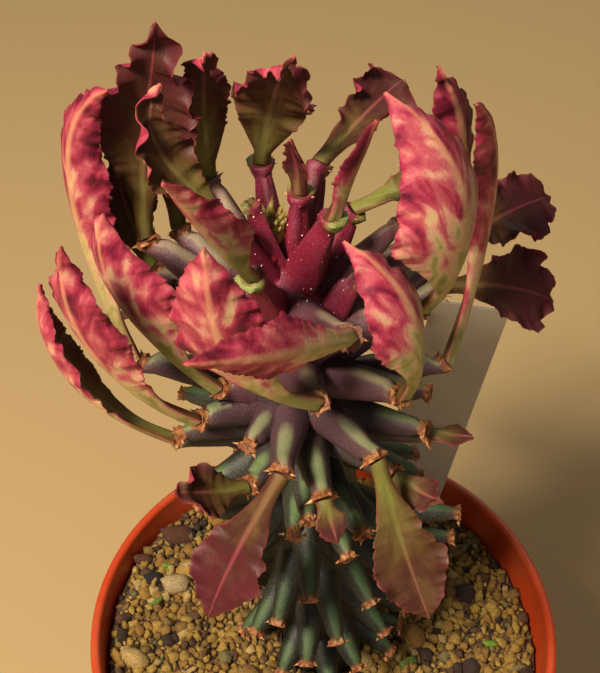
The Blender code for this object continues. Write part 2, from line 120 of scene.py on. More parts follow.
def feed(node: bpy.types.Node, inputs: dict | Sequence) -> bpy.types.Node:
    """Set or link a node's inputs.

    Args:
        node: The node.
        inputs: Its inputs by name or number, or in their order, each with a value, with the socket
            that feeds it or with a node, which stands for the first of its outputs in use.

    Returns:
        The same node.
    """
    for key, value in inputs.items() if isinstance(inputs, dict) else enumerate(inputs):
        if isinstance(value, bpy.types.Node):
            value = next(socket for socket in value.outputs if socket.enabled)
        if isinstance(value, bpy.types.NodeSocket):
            node.id_data.links.new(value, node.inputs[key])
        else:
            node.inputs[key].default_value = value
    return node


def add_node(tree: bpy.types.NodeTree, kind: str, inputs: dict | Sequence = (),
             settings: dict | None = None, stops: Sequence[tuple[float, str]] = ()) -> bpy.types.Node:
    """Add one node with its settings and links.

    Args:
        tree: The node tree that takes it.
        kind: Blender's name of the node type, without ShaderNode before it.
        inputs: Its inputs, as feed takes them.
        settings: Property names with their values.
        stops: A colour ramp's places and hex colours.

    Returns:
        The new node.
    """
    node = tree.nodes.new(kind if "Node" in kind else f"ShaderNode{kind}")
    for key, value in (settings or {}).items():
        setattr(node, key, value)
    for number, (place, code) in enumerate(stops):
        band = node.color_ramp.elements
        stop = band[number] if number < 2 else band.new(place)
        stop.position = place
        stop.color = linear(code)
    return feed(node, inputs)


def new_material(name: str) -> tuple[Finish, Callable, bpy.types.Node]:
    """Start an empty node material, ready for a finish to fill.

    Args:
        name: The material's name.

    Returns:
        The material, a function that adds a node to it, and its Principled shader.
    """
    made = bpy.data.materials.new(name)
    made.use_nodes = True
    return made, partial(add_node, made.node_tree), made.node_tree.nodes["Principled BSDF"]


def linked(name: str, data: bpy.types.ID) -> Piece:
    """Make an object and link it to the scene.

    Args:
        name: The object's name.
        data: Its mesh, light or camera.

    Returns:
        The object, at the origin.
    """
    thing = bpy.data.objects.new(name, data)
    bpy.context.scene.collection.objects.link(thing)
    return thing


@contextmanager
def reshaped(mesh: bpy.types.Mesh) -> Iterator[bmesh.types.BMesh]:
    """Open a mesh to be worked on, and write it back afterwards.

    Args:
        mesh: The mesh.

    Yields:
        Its editable shape.
    """
    shape = bmesh.new()
    shape.from_mesh(mesh)
    yield shape
    shape.to_mesh(mesh)
    shape.free()


def face_outwards(mesh: bpy.types.Mesh) -> None:
    """Turn the faces of a closed mesh so that they all look outwards.

    Args:
        mesh: The mesh.
    """
    with reshaped(mesh) as shape:
        bmesh.ops.recalc_face_normals(shape, faces=shape.faces)
        if shape.calc_volume(signed=True) < 0.0:
            bmesh.ops.reverse_faces(shape, faces=shape.faces)


def build_mesh(name: str, points: Sequence[Vector], faces: Sequence[Sequence[int]], finish: Finish,
               values: dict[str, Sequence] | None = None, crease: float = 60.0) -> Piece:
    """Make a piece from points in millimetres, with its faces turned outwards.

    Args:
        name: The piece's name.
        points: Corner points in millimetres.
        faces: Corner numbers of each face.
        finish: The piece's material.
        values: Point attributes, as numbers or as vectors, by name.
        crease: Angle in degrees above which an edge stays sharp.

    Returns:
        The linked object, at the origin.
    """
    mesh = bpy.data.meshes.new(name)
    mesh.from_pydata([p * MM for p in points], [], faces)
    for key, numbers in (values or {}).items():
        if isinstance(numbers[0], float):
            mesh.attributes.new(key, "FLOAT", "POINT").data.foreach_set("value", numbers)
        else:
            flat = [part for vector in numbers for part in vector]
            mesh.attributes.new(key, "FLOAT_VECTOR", "POINT").data.foreach_set("vector", flat)
    face_outwards(mesh)
    mesh.materials.append(finish)
    mesh.shade_smooth()
    mesh.set_sharp_from_angle(angle=math.radians(crease))
    return linked(name, mesh)


def ring(centre: Vector, radius: float, sides: int) -> list[Vector]:
    """One level ring of points round a centre."""
    return [centre + compass(360.0 * k / sides) * radius for k in range(sides)]


def bands(count: int, rows: int) -> list[tuple[int, ...]]:
    """Faces that join closed rows of points, each row of a count of them to the next."""
    return [(low + k, low + (k + 1) % count, low + count + (k + 1) % count, low + count + k)
            for low in range(0, rows * count, count) for k in range(count)]


def column_faces(count: int, sides: int) -> list[tuple[int, ...]]:
    """Faces that join a first point, rings of points and a last point.

    Args:
        count: How many points there are in all.
        sides: How many of them make a ring.

    Returns:
        Corner numbers of each face.
    """
    last = count - 1
    faces: list[tuple[int, ...]] = []
    for k in range(sides):
        after = (k + 1) % sides
        faces.append((0, 1 + k, 1 + after))
        faces.append((last, last - sides + after, last - sides + k))
        for low in range(1, last - sides, sides):
            faces.append((low + k, low + sides + k, low + sides + after, low + after))
    return faces


def turned(profile: Sequence[tuple[float, float]], sides: int) -> tuple[list[Vector], list]:
    """Work out a solid turned about Z.

    Args:
        profile: Radius and height along its section, which starts and ends on the axis.
        sides: How many sides it has.

    Returns:
        Its points and its faces.
    """
    points = [UP * profile[0][1]]
    for radius, height in profile[1:-1]:
        points += ring(UP * height, radius, sides)
    points.append(UP * profile[-1][1])
    return points, column_faces(len(points), sides)


def modify(piece: Piece, kind: str, settings: dict, inputs: dict | None = None) -> None:
    """Run one modifier on a piece and keep the plain mesh that it makes.

    Args:
        piece: The piece.
        kind: Blender's name of the modifier type.
        settings: Property names with their values.
        inputs: A geometry node tree's inputs by identifier.
    """
    step = piece.modifiers.new(kind.lower(), kind)
    for key, value in settings.items():
        setattr(step, key, value)
    for key, value in (inputs or {}).items():
        step[key] = value
    bpy.context.view_layer.update()
    graph = bpy.context.evaluated_depsgraph_get()
    mesh = bpy.data.meshes.new_from_object(piece.evaluated_get(graph))
    piece.modifiers.clear()
    piece.data = mesh


def combine(piece: Piece, others: Sequence[Piece], operation: str) -> None:
    """Join other closed bodies to a piece or cut them out of it, and remove them.

    Args:
        piece: The piece that stays.
        others: The bodies that are used up.
        operation: UNION or DIFFERENCE.
    """
    crowd = bpy.data.collections.new(operation)
    for thing in others:
        crowd.objects.link(thing)
    modify(piece, "BOOLEAN", {"operation": operation, "solver": "MANIFOLD", "operand_type": "COLLECTION",
                              "collection": crowd})
    for thing in others:
        bpy.data.objects.remove(thing, do_unlink=True)
    bpy.data.collections.remove(crowd)


def hand_over(piece: Piece, slot: str, *nodes: str) -> None:
    """Let a finished piece ride on the body, log its slot and stand for its nodes.

    Args:
        piece: The finished piece.
        slot: The record's material slot.
        nodes: The model's nodes that the piece stands for.
    """
    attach(piece, "root")
    if nodes:
        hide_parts(*nodes)
    LOG.info("%s: %d faces, slot %s", piece.name, len(piece.data.polygons), slot)


class CopyTree:
    """A geometry node tree with named inputs that puts copies of shapes on a piece.

    Attributes:
        node: A function that adds a node to the tree.
        given: The tree's inputs, with the piece's own mesh as Geometry.
    """

    def __init__(self, name: str, values: dict) -> None:
        """Open the tree.

        Args:
            name: The tree's name.
            values: Its inputs by name, with the copies' material as Finish.
        """
        self.tree = bpy.data.node_groups.new(name, "GeometryNodeTree")
        sockets = self.tree.interface
        for way in ("OUTPUT", "INPUT"):
            sockets.new_socket("Geometry", in_out=way, socket_type="NodeSocketGeometry")
        self.inputs = {
            sockets.new_socket(label, in_out="INPUT", socket_type=SOCKETS[type(value)]).identifier: value
            for label, value in values.items()}
        self.node = partial(add_node, self.tree)
        self.given = self.node("NodeGroupInput").outputs

    def run(self, piece: Piece, copies: bpy.types.Node) -> Piece:
        """Make the copies real, dress them and keep the plain mesh of them.

        Args:
            piece: The piece that they are put on, whose own mesh is used up.
            copies: The tree's node that gives the copies.

        Returns:
            The piece with its new mesh.
        """
        real = self.node("GeometryNodeRealizeInstances", (copies,))
        dressed = self.node("GeometryNodeSetMaterial", {"Geometry": real, "Material": self.given["Finish"]})
        self.node("NodeGroupOutput", (dressed,))
        modify(piece, "NODES", {"node_group": self.tree}, self.inputs)
        piece.data.name = piece.name
        return piece


def round_grain(name: str, level: int, rough: float, stretch: tuple, seed: int) -> Piece:
    """A grain of unit size to be scattered: a sphere with a few faces, made lumpy.

    Args:
        name: The grain's name.
        level: How finely the sphere is divided.
        rough: How far its corners are drawn in or out, as a share of its radius.
        stretch: Its proportions along X, Y and Z.
        seed: Seed of its lumps.

    Returns:
        An unlinked object.
    """
    draw = random.Random(seed)
    mesh = bpy.data.meshes.new(name)
    with reshaped(mesh) as shape:
        bmesh.ops.create_icosphere(shape, subdivisions=level, radius=0.5)
        for corner in shape.verts:
            lump = 1.0 + draw.uniform(-rough, rough)
            corner.co = Vector([a * b for a, b in zip(corner.co, stretch)]) * lump
    mesh.shade_smooth()
    return bpy.data.objects.new(name, mesh)


def horn_cone(sides: int = 5) -> Piece:
    """A slender curved prickle of unit length, pointing along Z.

    Args:
        sides: How many sides it has.

    Returns:
        An unlinked object.
    """
    points = [Vector((0.0, 0.0, -0.1))]
    for radius, height, sway in ((0.32, 0.0, 0.0), (0.2, 0.3, 0.01), (0.1, 0.6, 0.05)):
        points += ring(Vector((sway, 0.0, height)), radius, sides)
    points.append(Vector((0.14, 0.0, 1.0)))
    mesh = bpy.data.meshes.new("prickle")
    mesh.from_pydata(points, [], column_faces(len(points), sides))
    face_outwards(mesh)
    mesh.shade_smooth()
    return bpy.data.objects.new("prickle", mesh)


def scatter_at(name: str, pins: Sequence[tuple[Vector, Vector, float]], grain: Piece,
               finish: Finish) -> Piece:
    """Put a copy of a shape at each given point, by geometry nodes.

    Args:
        name: The new piece's name.
        pins: For each copy its point, where its own Z points, and its length in millimetres.
        grain: The shape of unit length.
        finish: The copies' material.

    Returns:
        One plain mesh of all the copies.
    """
    spots, aims, sizes = zip(*pins)
    piece = build_mesh(name, spots, [], finish, {"aim": aims, "size": [size * MM for size in sizes]})
    work = CopyTree("set_at_points", {"Shape": grain, "Finish": finish})
    node, given = work.node, work.given
    aim = node("GeometryNodeInputNamedAttribute", {"Name": "aim"}, VECTOR)
    size = node("GeometryNodeInputNamedAttribute", {"Name": "size"}, NUMBER)
    turn = node("FunctionNodeAlignRotationToVector", {"Vector": aim}, {"axis": "Z"})
    shape = node("GeometryNodeObjectInfo", {"Object": given["Shape"]}).outputs["Geometry"]
    return work.run(piece, node("GeometryNodeInstanceOnPoints", {
        "Points": given["Geometry"], "Instance": shape, "Rotation": turn, "Scale": size}))


@dataclass(frozen=True)
class Grains:
    """One sort of loose grain, with its sizes in millimetres.

    Attributes:
        name: The piece's name.
        level: How finely each grain is divided.
        rough: How lumpy it is, as a share of its radius.
        spacing: Least distance between grains.
        smallest: Least size.
        largest: Greatest size.
        sink: How far the grains' middles lie under the surface.
        inset: How far the outermost middles stay from the pot's wall.
        seed: First seed of their lumps, counted from the scene's own.
        skew: Above 1, most grains are small.
        shapes: The proportions to pick from, along X, Y and Z.
    """
    name: str
    level: int
    rough: float
    spacing: float
    smallest: float
    largest: float
    sink: float
    inset: float
    seed: int = 0
    skew: float = 1.4
    shapes: tuple = ((1.0, 0.85, 0.75), (1.1, 0.8, 0.7), (0.95, 0.9, 0.6), (1.3, 0.75, 0.6),
                     (0.9, 0.9, 0.85), (1.15, 0.65, 0.8))


def scatter_over(surface: Piece, sort: Grains, finish: Finish) -> Piece:
    """Strew grains over a surface by geometry nodes, none closer together than their spacing.

    Args:
        surface: The object to strew, whose mesh is used up.
        sort: The grains.
        finish: Their material.

    Returns:
        The same object, now one plain mesh of grains.
    """
    kinds = bpy.data.collections.new(f"{sort.name}_kinds")
    for k, shape in enumerate(sort.shapes):
        kinds.objects.link(round_grain(f"{sort.name}_{k}", sort.level, sort.rough, shape,
                                       SEED + sort.seed + k))
    work = CopyTree("strew_over_surface", {
        "Kinds": kinds, "Finish": finish, "Spacing": sort.spacing * MM, "Smallest": sort.smallest * MM,
        "Largest": sort.largest * MM, "Sink": sort.sink * MM, "Skew": sort.skew})
    node, given = work.node, work.given
    # So many points are tried that hardly a gap wider than the spacing stays open.
    crowding = 6.0
    density = node("Math", (node("Math", (given["Spacing"], -2.0), POWER), crowding), TIMES)
    spots = node("GeometryNodeDistributePointsOnFaces", {
        "Mesh": given["Geometry"], "Distance Min": given["Spacing"], "Density Max": density,
        "Seed": SEED}, {"distribute_method": "POISSON"})
    down = node("CombineXYZ", {2: node("Math", (given["Sink"], -1.0), TIMES)})
    lowered = node("GeometryNodeSetPosition", {"Geometry": spots, "Offset": down})
    pick = node("GeometryNodeCollectionInfo", {
        "Collection": given["Kinds"], "Separate Children": True, "Reset Children": True})
    full_turn = (6.28, 6.28, 6.28)
    turn = node("FunctionNodeRandomValue", {0: (0.0, 0.0, 0.0), 1: full_turn, "Seed": SEED + 1}, VECTOR)
    share = node("FunctionNodeRandomValue", {"Seed": SEED + 2}, NUMBER)
    skewed = node("Math", (share, given["Skew"]), POWER)
    size = node("MapRange", {0: skewed, 3: given["Smallest"], 4: given["Largest"]})
    copies = node("GeometryNodeInstanceOnPoints", {
        "Points": lowered, "Instance": pick, "Pick Instance": True, "Rotation": turn, "Scale": size})
    hue = node("FunctionNodeRandomValue", {"Seed": SEED + 3}, NUMBER)
    return work.run(surface, node("GeometryNodeStoreNamedAttribute", {
        "Geometry": copies, "Name": "hue", "Value": hue}, {"data_type": "FLOAT", "domain": "INSTANCE"}))


@dataclass(frozen=True)
class LeafSkin:
    """Fleshy leaf skin: waxy and satin, crimson mottled with cream outside, dark olive inside.

    The wax gives a soft broad highlight. The pattern follows the blade: its own coordinates are
    millimetres across and along, so the mottling and the fine grain keep their real size.
    """
    name: str = "succulent_leaf_skin"
    outside: tuple = ((0.0, "#7e8046"), (0.14, "#999254"), (0.27, "#c2a87b"), (0.42, "#c8927d"),
                      (0.58, "#b35660"), (0.78, "#962c46"), (1.0, "#5c142a"))
    inside: tuple = ((0.0, "#707236"), (0.25, "#65592e"), (0.5, "#563c22"), (0.75, "#46241f"),
                     (1.0, "#511c25"))
    rib_outside: tuple = ((0.0, "#85864a"), (0.35, "#b3a468"), (0.7, "#d3a07a"), (1.0, "#c8715f"))
    rib_inside: tuple = ((0.2, "#74773c"), (0.4, "#7f7446"), (0.58, "#8c5c48"), (0.8, "#95424c"))
    rim_outside: str = "#8c3140"
    rim_inside: str = "#6b3426"
    rim_mm: float = 0.35
    bloom_colour: str = "#90785f"
    bloom_mm: float = 7.0
    patch_mm: float = 2.3
    patch_squash: float = 0.55
    vein_slant: float = 0.9
    grain_mm: float = 0.4
    grain_depth_mm: float = 0.12
    swell_mm: float = 0.4
    roughness: float = 0.42
    subsurface: float = 0.12
    subsurface_mm: float = 0.8
    specular: float = 0.22

    def material(self) -> Finish:
        """Build the skin from the blade's own coordinates and its blush, rib and rim values.

        Returns:
            The material.
        """
        made, node, shader = new_material(self.name)
        lay = node("Attribute", settings={"attribute_name": "lay"}).outputs["Vector"]
        look = node("Attribute", settings={"attribute_name": "look"}).outputs["Vector"]
        across, along, inset = node("SeparateXYZ", (lay,)).outputs
        blush, share, inner = node("SeparateXYZ", (look,)).outputs
        # Patches run aslant from the midrib, broken up by broad clouds and a fine grain.
        offset = node("Math", (across,), {"operation": "ABSOLUTE"})
        slant = node("Math", (offset, -self.vein_slant, along), SCALED)
        veined = node("CombineXYZ", (across, slant))
        squash = (1.0 / self.patch_mm, self.patch_squash / self.patch_mm, 1.0)
        stretch = node("Mapping", {"Vector": veined, "Scale": squash})
        patches = node("TexNoise", {"Vector": stretch, "Scale": 1.0, "Detail": 3.0, "Roughness": 0.45,
                                    "Distortion": 0.4})
        clouds = node("TexNoise", {"Vector": veined, "Scale": 0.35 / self.patch_mm, "Detail": 2.0})
        grain = node("TexNoise", {"Vector": lay, "Scale": 1.0 / self.grain_mm, "Detail": 3.0})
        spread = node("Math", (patches, 1.35, -0.675), SCALED)
        broad = node("Math", (clouds, 0.7, spread), SCALED)
        fine = node("Math", (grain, 0.2, -0.45), SCALED)
        mottle = node("Math", (broad, fine))
        outer = node("ValToRGB", (node("Math", (mottle, blush)),), stops=self.outside)
        inside = node("ValToRGB", (node("Math", (mottle, 0.5, blush), SCALED),), stops=self.inside)
        # The wax lies on the inner face as a thin pale bloom.
        wax = node("TexNoise", {"Vector": lay, "Scale": 1.0 / self.bloom_mm, "Detail": 6.0,
                                "Roughness": 0.7})
        bloom = node("MapRange", (wax, 0.5, 0.75, 0.0, 0.14), EASED)
        dusted = node("Mix", {0: bloom, 6: inside, 7: linear(self.bloom_colour)}, COLOURS)
        # The midrib tapers towards the tip and is broader outside than inside.
        rib_half = node("MapRange", {0: share, 3: 1.7, 4: 0.2})
        reach = node("Math", (offset, rib_half), {"operation": "DIVIDE"})
        rib = node("MapRange", (reach, 1.35, 0.1, 0.0, 0.65), EASED)
        thin_rib = node("MapRange", (reach, 0.6, 0.1, 0.0, 0.6), EASED)
        rib_out = node("ValToRGB", (share,), stops=self.rib_outside)
        rib_in = node("ValToRGB", (blush,), stops=self.rib_inside)
        outer_rib = node("Mix", {0: rib, 6: outer, 7: rib_out}, COLOURS)
        inner_rib = node("Mix", {0: thin_rib, 6: dusted, 7: rib_in}, COLOURS)
        both = node("Mix", {0: inner, 6: outer_rib, 7: inner_rib}, COLOURS)
        edge = node("Mix", {0: inner, 6: linear(self.rim_outside), 7: linear(self.rim_inside)}, COLOURS)
        rim = node("MapRange", (inset, self.rim_mm, 0.0, 0.0, 0.5), EASED)
        relief = node("Bump", {"Strength": 0.45, "Distance": self.grain_depth_mm * MM, "Height": grain})
        swell = node("Bump", {"Strength": 0.5, "Distance": self.swell_mm * MM, "Height": patches,
                              "Normal": relief})
        feed(shader, {
            "Base Color": node("Mix", {0: rim, 6: both, 7: edge}, COLOURS),
            "Roughness": node("MapRange", {0: grain, 3: self.roughness - 0.06, 4: self.roughness + 0.26}),
            "Normal": swell, "Subsurface Weight": self.subsurface, "Subsurface Radius": (1.0, 0.35, 0.2),
            "Subsurface Scale": self.subsurface_mm * MM, "Specular IOR Level": self.specular})
        return made


@dataclass(frozen=True)
class TubercleSkin:
    """Tubercle skin: velvety with fine papillae, magenta at the top and grey-green lower down, in painted
    shade.

    The papillae scatter light, so it is duller than the leaves; their pale dots are partly painted glints.
    Each tubercle has a pale ridge along its upper side, a corky collar and a dry scar.
    """
    name: str = "tubercle_skin"
    # The flesh's near-black old end is painted shade on the sides of the lower tubercles.
    flesh: tuple = ((0.0, "#780f30"), (0.08, "#6e1836"), (0.2, "#5c3642"), (0.48, "#443036"),
                    (0.64, "#2a2e26"), (1.0, "#191f16"))
    ridge: tuple = ((0.0, "#781c39"), (0.08, "#804050"), (0.2, "#97866f"), (0.48, "#7f8d62"),
                    (0.64, "#5c7846"), (1.0, "#3f5a34"))
    crust: tuple = ((0.0, "#7c8848"), (0.25, "#857c44"), (0.6, "#57301f"), (0.85, "#8a4e2a"),
                    (1.0, "#a67647"))
    scar_colour: str = "#714630"
    papilla_and_glint_colour: str = "#a3938c"
    papilla_mm: float = 0.42
    papilla_depth_mm: float = 0.12
    cloud_mm: float = 4.0
    flake_mm: float = 0.8
    roughness: float = 0.58

    def material(self) -> Finish:
        """Build the skin from each tubercle's age, ridge and collar, and how dry its end is.

        Returns:
            The material.
        """
        made, node, shader = new_material(self.name)
        look = node("Attribute", settings={"attribute_name": "look"}).outputs["Vector"]
        ends = node("Attribute", settings={"attribute_name": "ends"}).outputs["Vector"]
        age, ridge, collar = node("SeparateXYZ", (look,)).outputs
        worn, dry, _ = node("SeparateXYZ", (ends,)).outputs
        place = node("TexCoord").outputs["Object"]
        # The flesh and its pale ridge change with age, a little earlier or later from spot to spot. Old
        # flesh
        # ends in painted shade: near black on the sides of the lower tubercles.
        cloud = node("TexNoise", {"Vector": place, "Scale": 1.0 / (self.cloud_mm * MM), "Detail": 4.0})
        tone = node("Math", (age, node("Math", (cloud, 0.3, -0.15), SCALED)))
        flesh = node("ValToRGB", (tone,), stops=self.flesh)
        pale = node("ValToRGB", (tone,), stops=self.ridge)
        stripe = node("MapRange", (ridge, 0.76, 1.0, 0.0, 0.8), EASED)
        skin = node("Mix", {0: stripe, 6: flesh, 7: pale}, COLOURS)
        # Pale dots on the papillae: partly their own pale tone, partly painted glints of the velvet.
        papillae = node("TexVoronoi", {"Vector": place, "Scale": 1.0 / (self.papilla_mm * MM)})
        papilla_and_glint_dots = node("MapRange", (papillae, 0.0, 0.45, 0.16, 0.0))
        speckled = node("Mix", {0: papilla_and_glint_dots, 6: skin, 7: linear(self.papilla_and_glint_colour)}, COLOURS)
        # The crust flakes where it is dry.
        flakes = node("TexNoise", {"Vector": place, "Scale": 1.0 / (self.flake_mm * MM), "Detail": 3.0})
        patchy = node("Math", (flakes, 1.1, -0.68), SCALED)
        dried = node("Math", (dry, node("Math", (patchy, dry), TIMES)))
        cork = node("ValToRGB", (dried,), stops=self.crust)
        ringed = node("Mix", {0: collar, 6: speckled, 7: cork}, COLOURS)
        scarred = node("Mix", {0: worn, 6: ringed, 7: linear(self.scar_colour)}, COLOURS)
        relief = node("Bump", {"Strength": 0.5, "Distance": self.papilla_depth_mm * MM,
                               "Height": papillae}, {"invert": True})
        feed(shader, {"Base Color": scarred, "Normal": relief, "Roughness": self.roughness})
        return made


@dataclass(frozen=True)
class CloudedMatter:
    """A plain matter whose tone drifts by noise at its real size, with relief where it is crumbly.

    Attributes:
        name: The material's name.
        tones: Places and hex colours along the noise.
        cloud_mm: Size of the clouds in millimetres.
        roughness: How matt it is.
        detail: How many finer clouds lie in each.
        harshness: How strong those are.
        relief: How strongly the clouds stand out, or 0 for a smooth matter.
        relief_mm: How far they stand out.
    """
    name: str
    tones: tuple
    cloud_mm: float
    roughness: float
    detail: float = 2.0
    harshness: float = 0.5
    relief: float = 0.0
    relief_mm: float = 0.8

    def material(self) -> Finish:
        """Build the matter.

        Returns:
            The material.
        """
        made, node, shader = new_material(self.name)
        cloud = node("TexNoise", {
            "Vector": node("TexCoord").outputs["Object"], "Scale": 1.0 / (self.cloud_mm * MM),
            "Detail": self.detail, "Roughness": self.harshness})
        feed(shader, {"Base Color": node("ValToRGB", (cloud,), stops=self.tones),
                      "Roughness": self.roughness})
        if self.relief:
            feed(shader, {"Normal": node("Bump", {
                "Strength": self.relief, "Distance": self.relief_mm * MM, "Height": cloud})})
        return made


# Dry horny prickle: brown at the foot, bleached at the point and nearly matt.
PRICKLE_HORN = CloudedMatter("prickle_horn", ((0.3, "#7a4526"), (0.5, "#a8703f"), (0.7, "#c9a078")),
                             0.8, 0.6)
# Young scale leaf: still soft, so it is olive and has the leaves' satin gloss.
YOUNG_SCALE = CloudedMatter("young_scale", ((0.3, "#6b4426"), (0.5, "#93803c"), (0.7, "#a89a52")),
                            0.8, 0.4)
# Dried latex: tiny white beads, glossy where they have set.
DRIED_LATEX = CloudedMatter("dried_latex", ((0.3, "#d9c8c0"), (0.7, "#eae2dc")), 0.5, 0.18)
# Flower bud: a taut red skin that is as glossy as the latex.
FLOWER_BUD = CloudedMatter("young_flower_bud", ((0.3, "#8e1830"), (0.7, "#b8233c")), 0.5, 0.18)
# Potting mix under the grit: peaty, dark and crumbly, quite without gloss.
POTTING_MIX = CloudedMatter("potting_mix", ((0.3, "#2a2018"), (0.5, "#4b3826"), (0.7, "#7a6140")),
                            1.4, 0.95, 6.0, 0.7, 0.9)


@dataclass(frozen=True)
class GritStone:
    """Baked clay and crushed stone: dry, matt and porous, tan with ochre, brown and grey grains."""
    name: str = "baked_clay_grit"
    tones: tuple = ((0.0, "#35261b"), (0.08, "#5a3d28"), (0.16, "#80632e"), (0.36, "#967632"),
                    (0.58, "#a5863e"), (0.78, "#906a30"), (0.89, "#b3975e"), (0.96, "#746a42"))
    pore_mm: float = 0.5
    pore_depth_mm: float = 0.35
    roughness: float = 0.9

    def material(self) -> Finish:
        """Build the grains, each with its own tone from the hue that it was dealt.

        Returns:
            The material.
        """
        made, node, shader = new_material(self.name)
        hue = node("Attribute", settings={"attribute_name": "hue"}).outputs["Fac"]
        pores = node("TexNoise", {
            "Vector": node("TexCoord").outputs["Object"], "Scale": 1.0 / (self.pore_mm * MM),
            "Detail": 5.0, "Roughness": 0.7})
        tone = node("ValToRGB", (hue,), stops=self.tones)
        tone.color_ramp.interpolation = "CONSTANT"
        shade = node("MapRange", (pores, 0.3, 0.7, 0.4, 1.2))
        feed(shader, {
            "Base Color": node("VectorMath", {0: tone, "Scale": shade}, {"operation": "SCALE"}),
            "Normal": node("Bump", {"Strength": 1.0, "Distance": self.pore_depth_mm * MM,
                                    "Height": pores}),
            "Roughness": self.roughness})
        return made


@dataclass(frozen=True)
class MouldedPlastic:
    """Injection-moulded plastic: satin, with a fine moulded grain and a little dust."""
    name: str
    colour: str
    dust_colour: str
    dust: float
    roughness: float
    dust_mm: float = 14.0
    grain_mm: float = 0.35
    grain_depth_mm: float = 0.05
    ior: float = 1.49

    def material(self) -> Finish:
        """Build the plastic, dusted in soft clouds and grained by fine noise.

        Returns:
            The material.
        """
        made, node, shader = new_material(self.name)
        place = node("TexCoord").outputs["Object"]
        clouds = node("TexNoise", {"Vector": place, "Scale": 1.0 / (self.dust_mm * MM), "Detail": 6.0,
                                   "Roughness": 0.6})
        grain = node("TexNoise", {"Vector": place, "Scale": 1.0 / (self.grain_mm * MM), "Detail": 2.0})
        film = node("MapRange", (clouds, 0.45, 0.75, 0.0, self.dust))
        feed(shader, {
            "Base Color": node("Mix", {0: film, 6: linear(self.colour), 7: linear(self.dust_colour)},
                               COLOURS),
            "Roughness": node("MapRange", {0: clouds, 3: self.roughness - 0.06, 4: self.roughness + 0.14}),
            "Normal": node("Bump", {"Strength": 0.15, "Distance": self.grain_depth_mm * MM,
                                    "Height": grain}),
            "IOR": self.ior})
        return made


@dataclass(frozen=True)
class Axis:
    """The stem's axis, which is plumb in the soil and leans to the left above it."""
    lean: float = 8.0
    from_z: float = 84.0
    height: float = 108.0
    root_r: float = 4.75
    root_share: float = 0.4
    crown_z: float = 150.0
    crown_height: float = 50.0
    crown_drop: float = 14.0

    def at(self, z: float) -> Vector:
        """Centre of the stem at a height."""
        return Vector((-self.lean * max(0.0, z - self.from_z) / self.height, 0.0, z))

    def seat(self, place: tuple[float, float, float]) -> Vector:
        """Tip of a tubercle from its azimuth, its distance from the axis and its height."""
        azimuth, reach, z = place
        return self.at(z) + compass(azimuth) * reach

    def root(self, place: tuple[float, float, float]) -> Vector:
        """Work out where a tubercle leaves the stem: well below its tip near the top.

        Args:
            place: Azimuth, distance from the axis and height of its tip.

        Returns:
            The point in millimetres.
        """
        azimuth, reach, z = place
        drop = lerp(1.0, self.crown_drop, smooth_step((z - self.crown_z) / self.crown_height))
        return self.at(z - drop) + compass(azimuth) * min(self.root_r, reach * self.root_share)


AXIS = Axis()


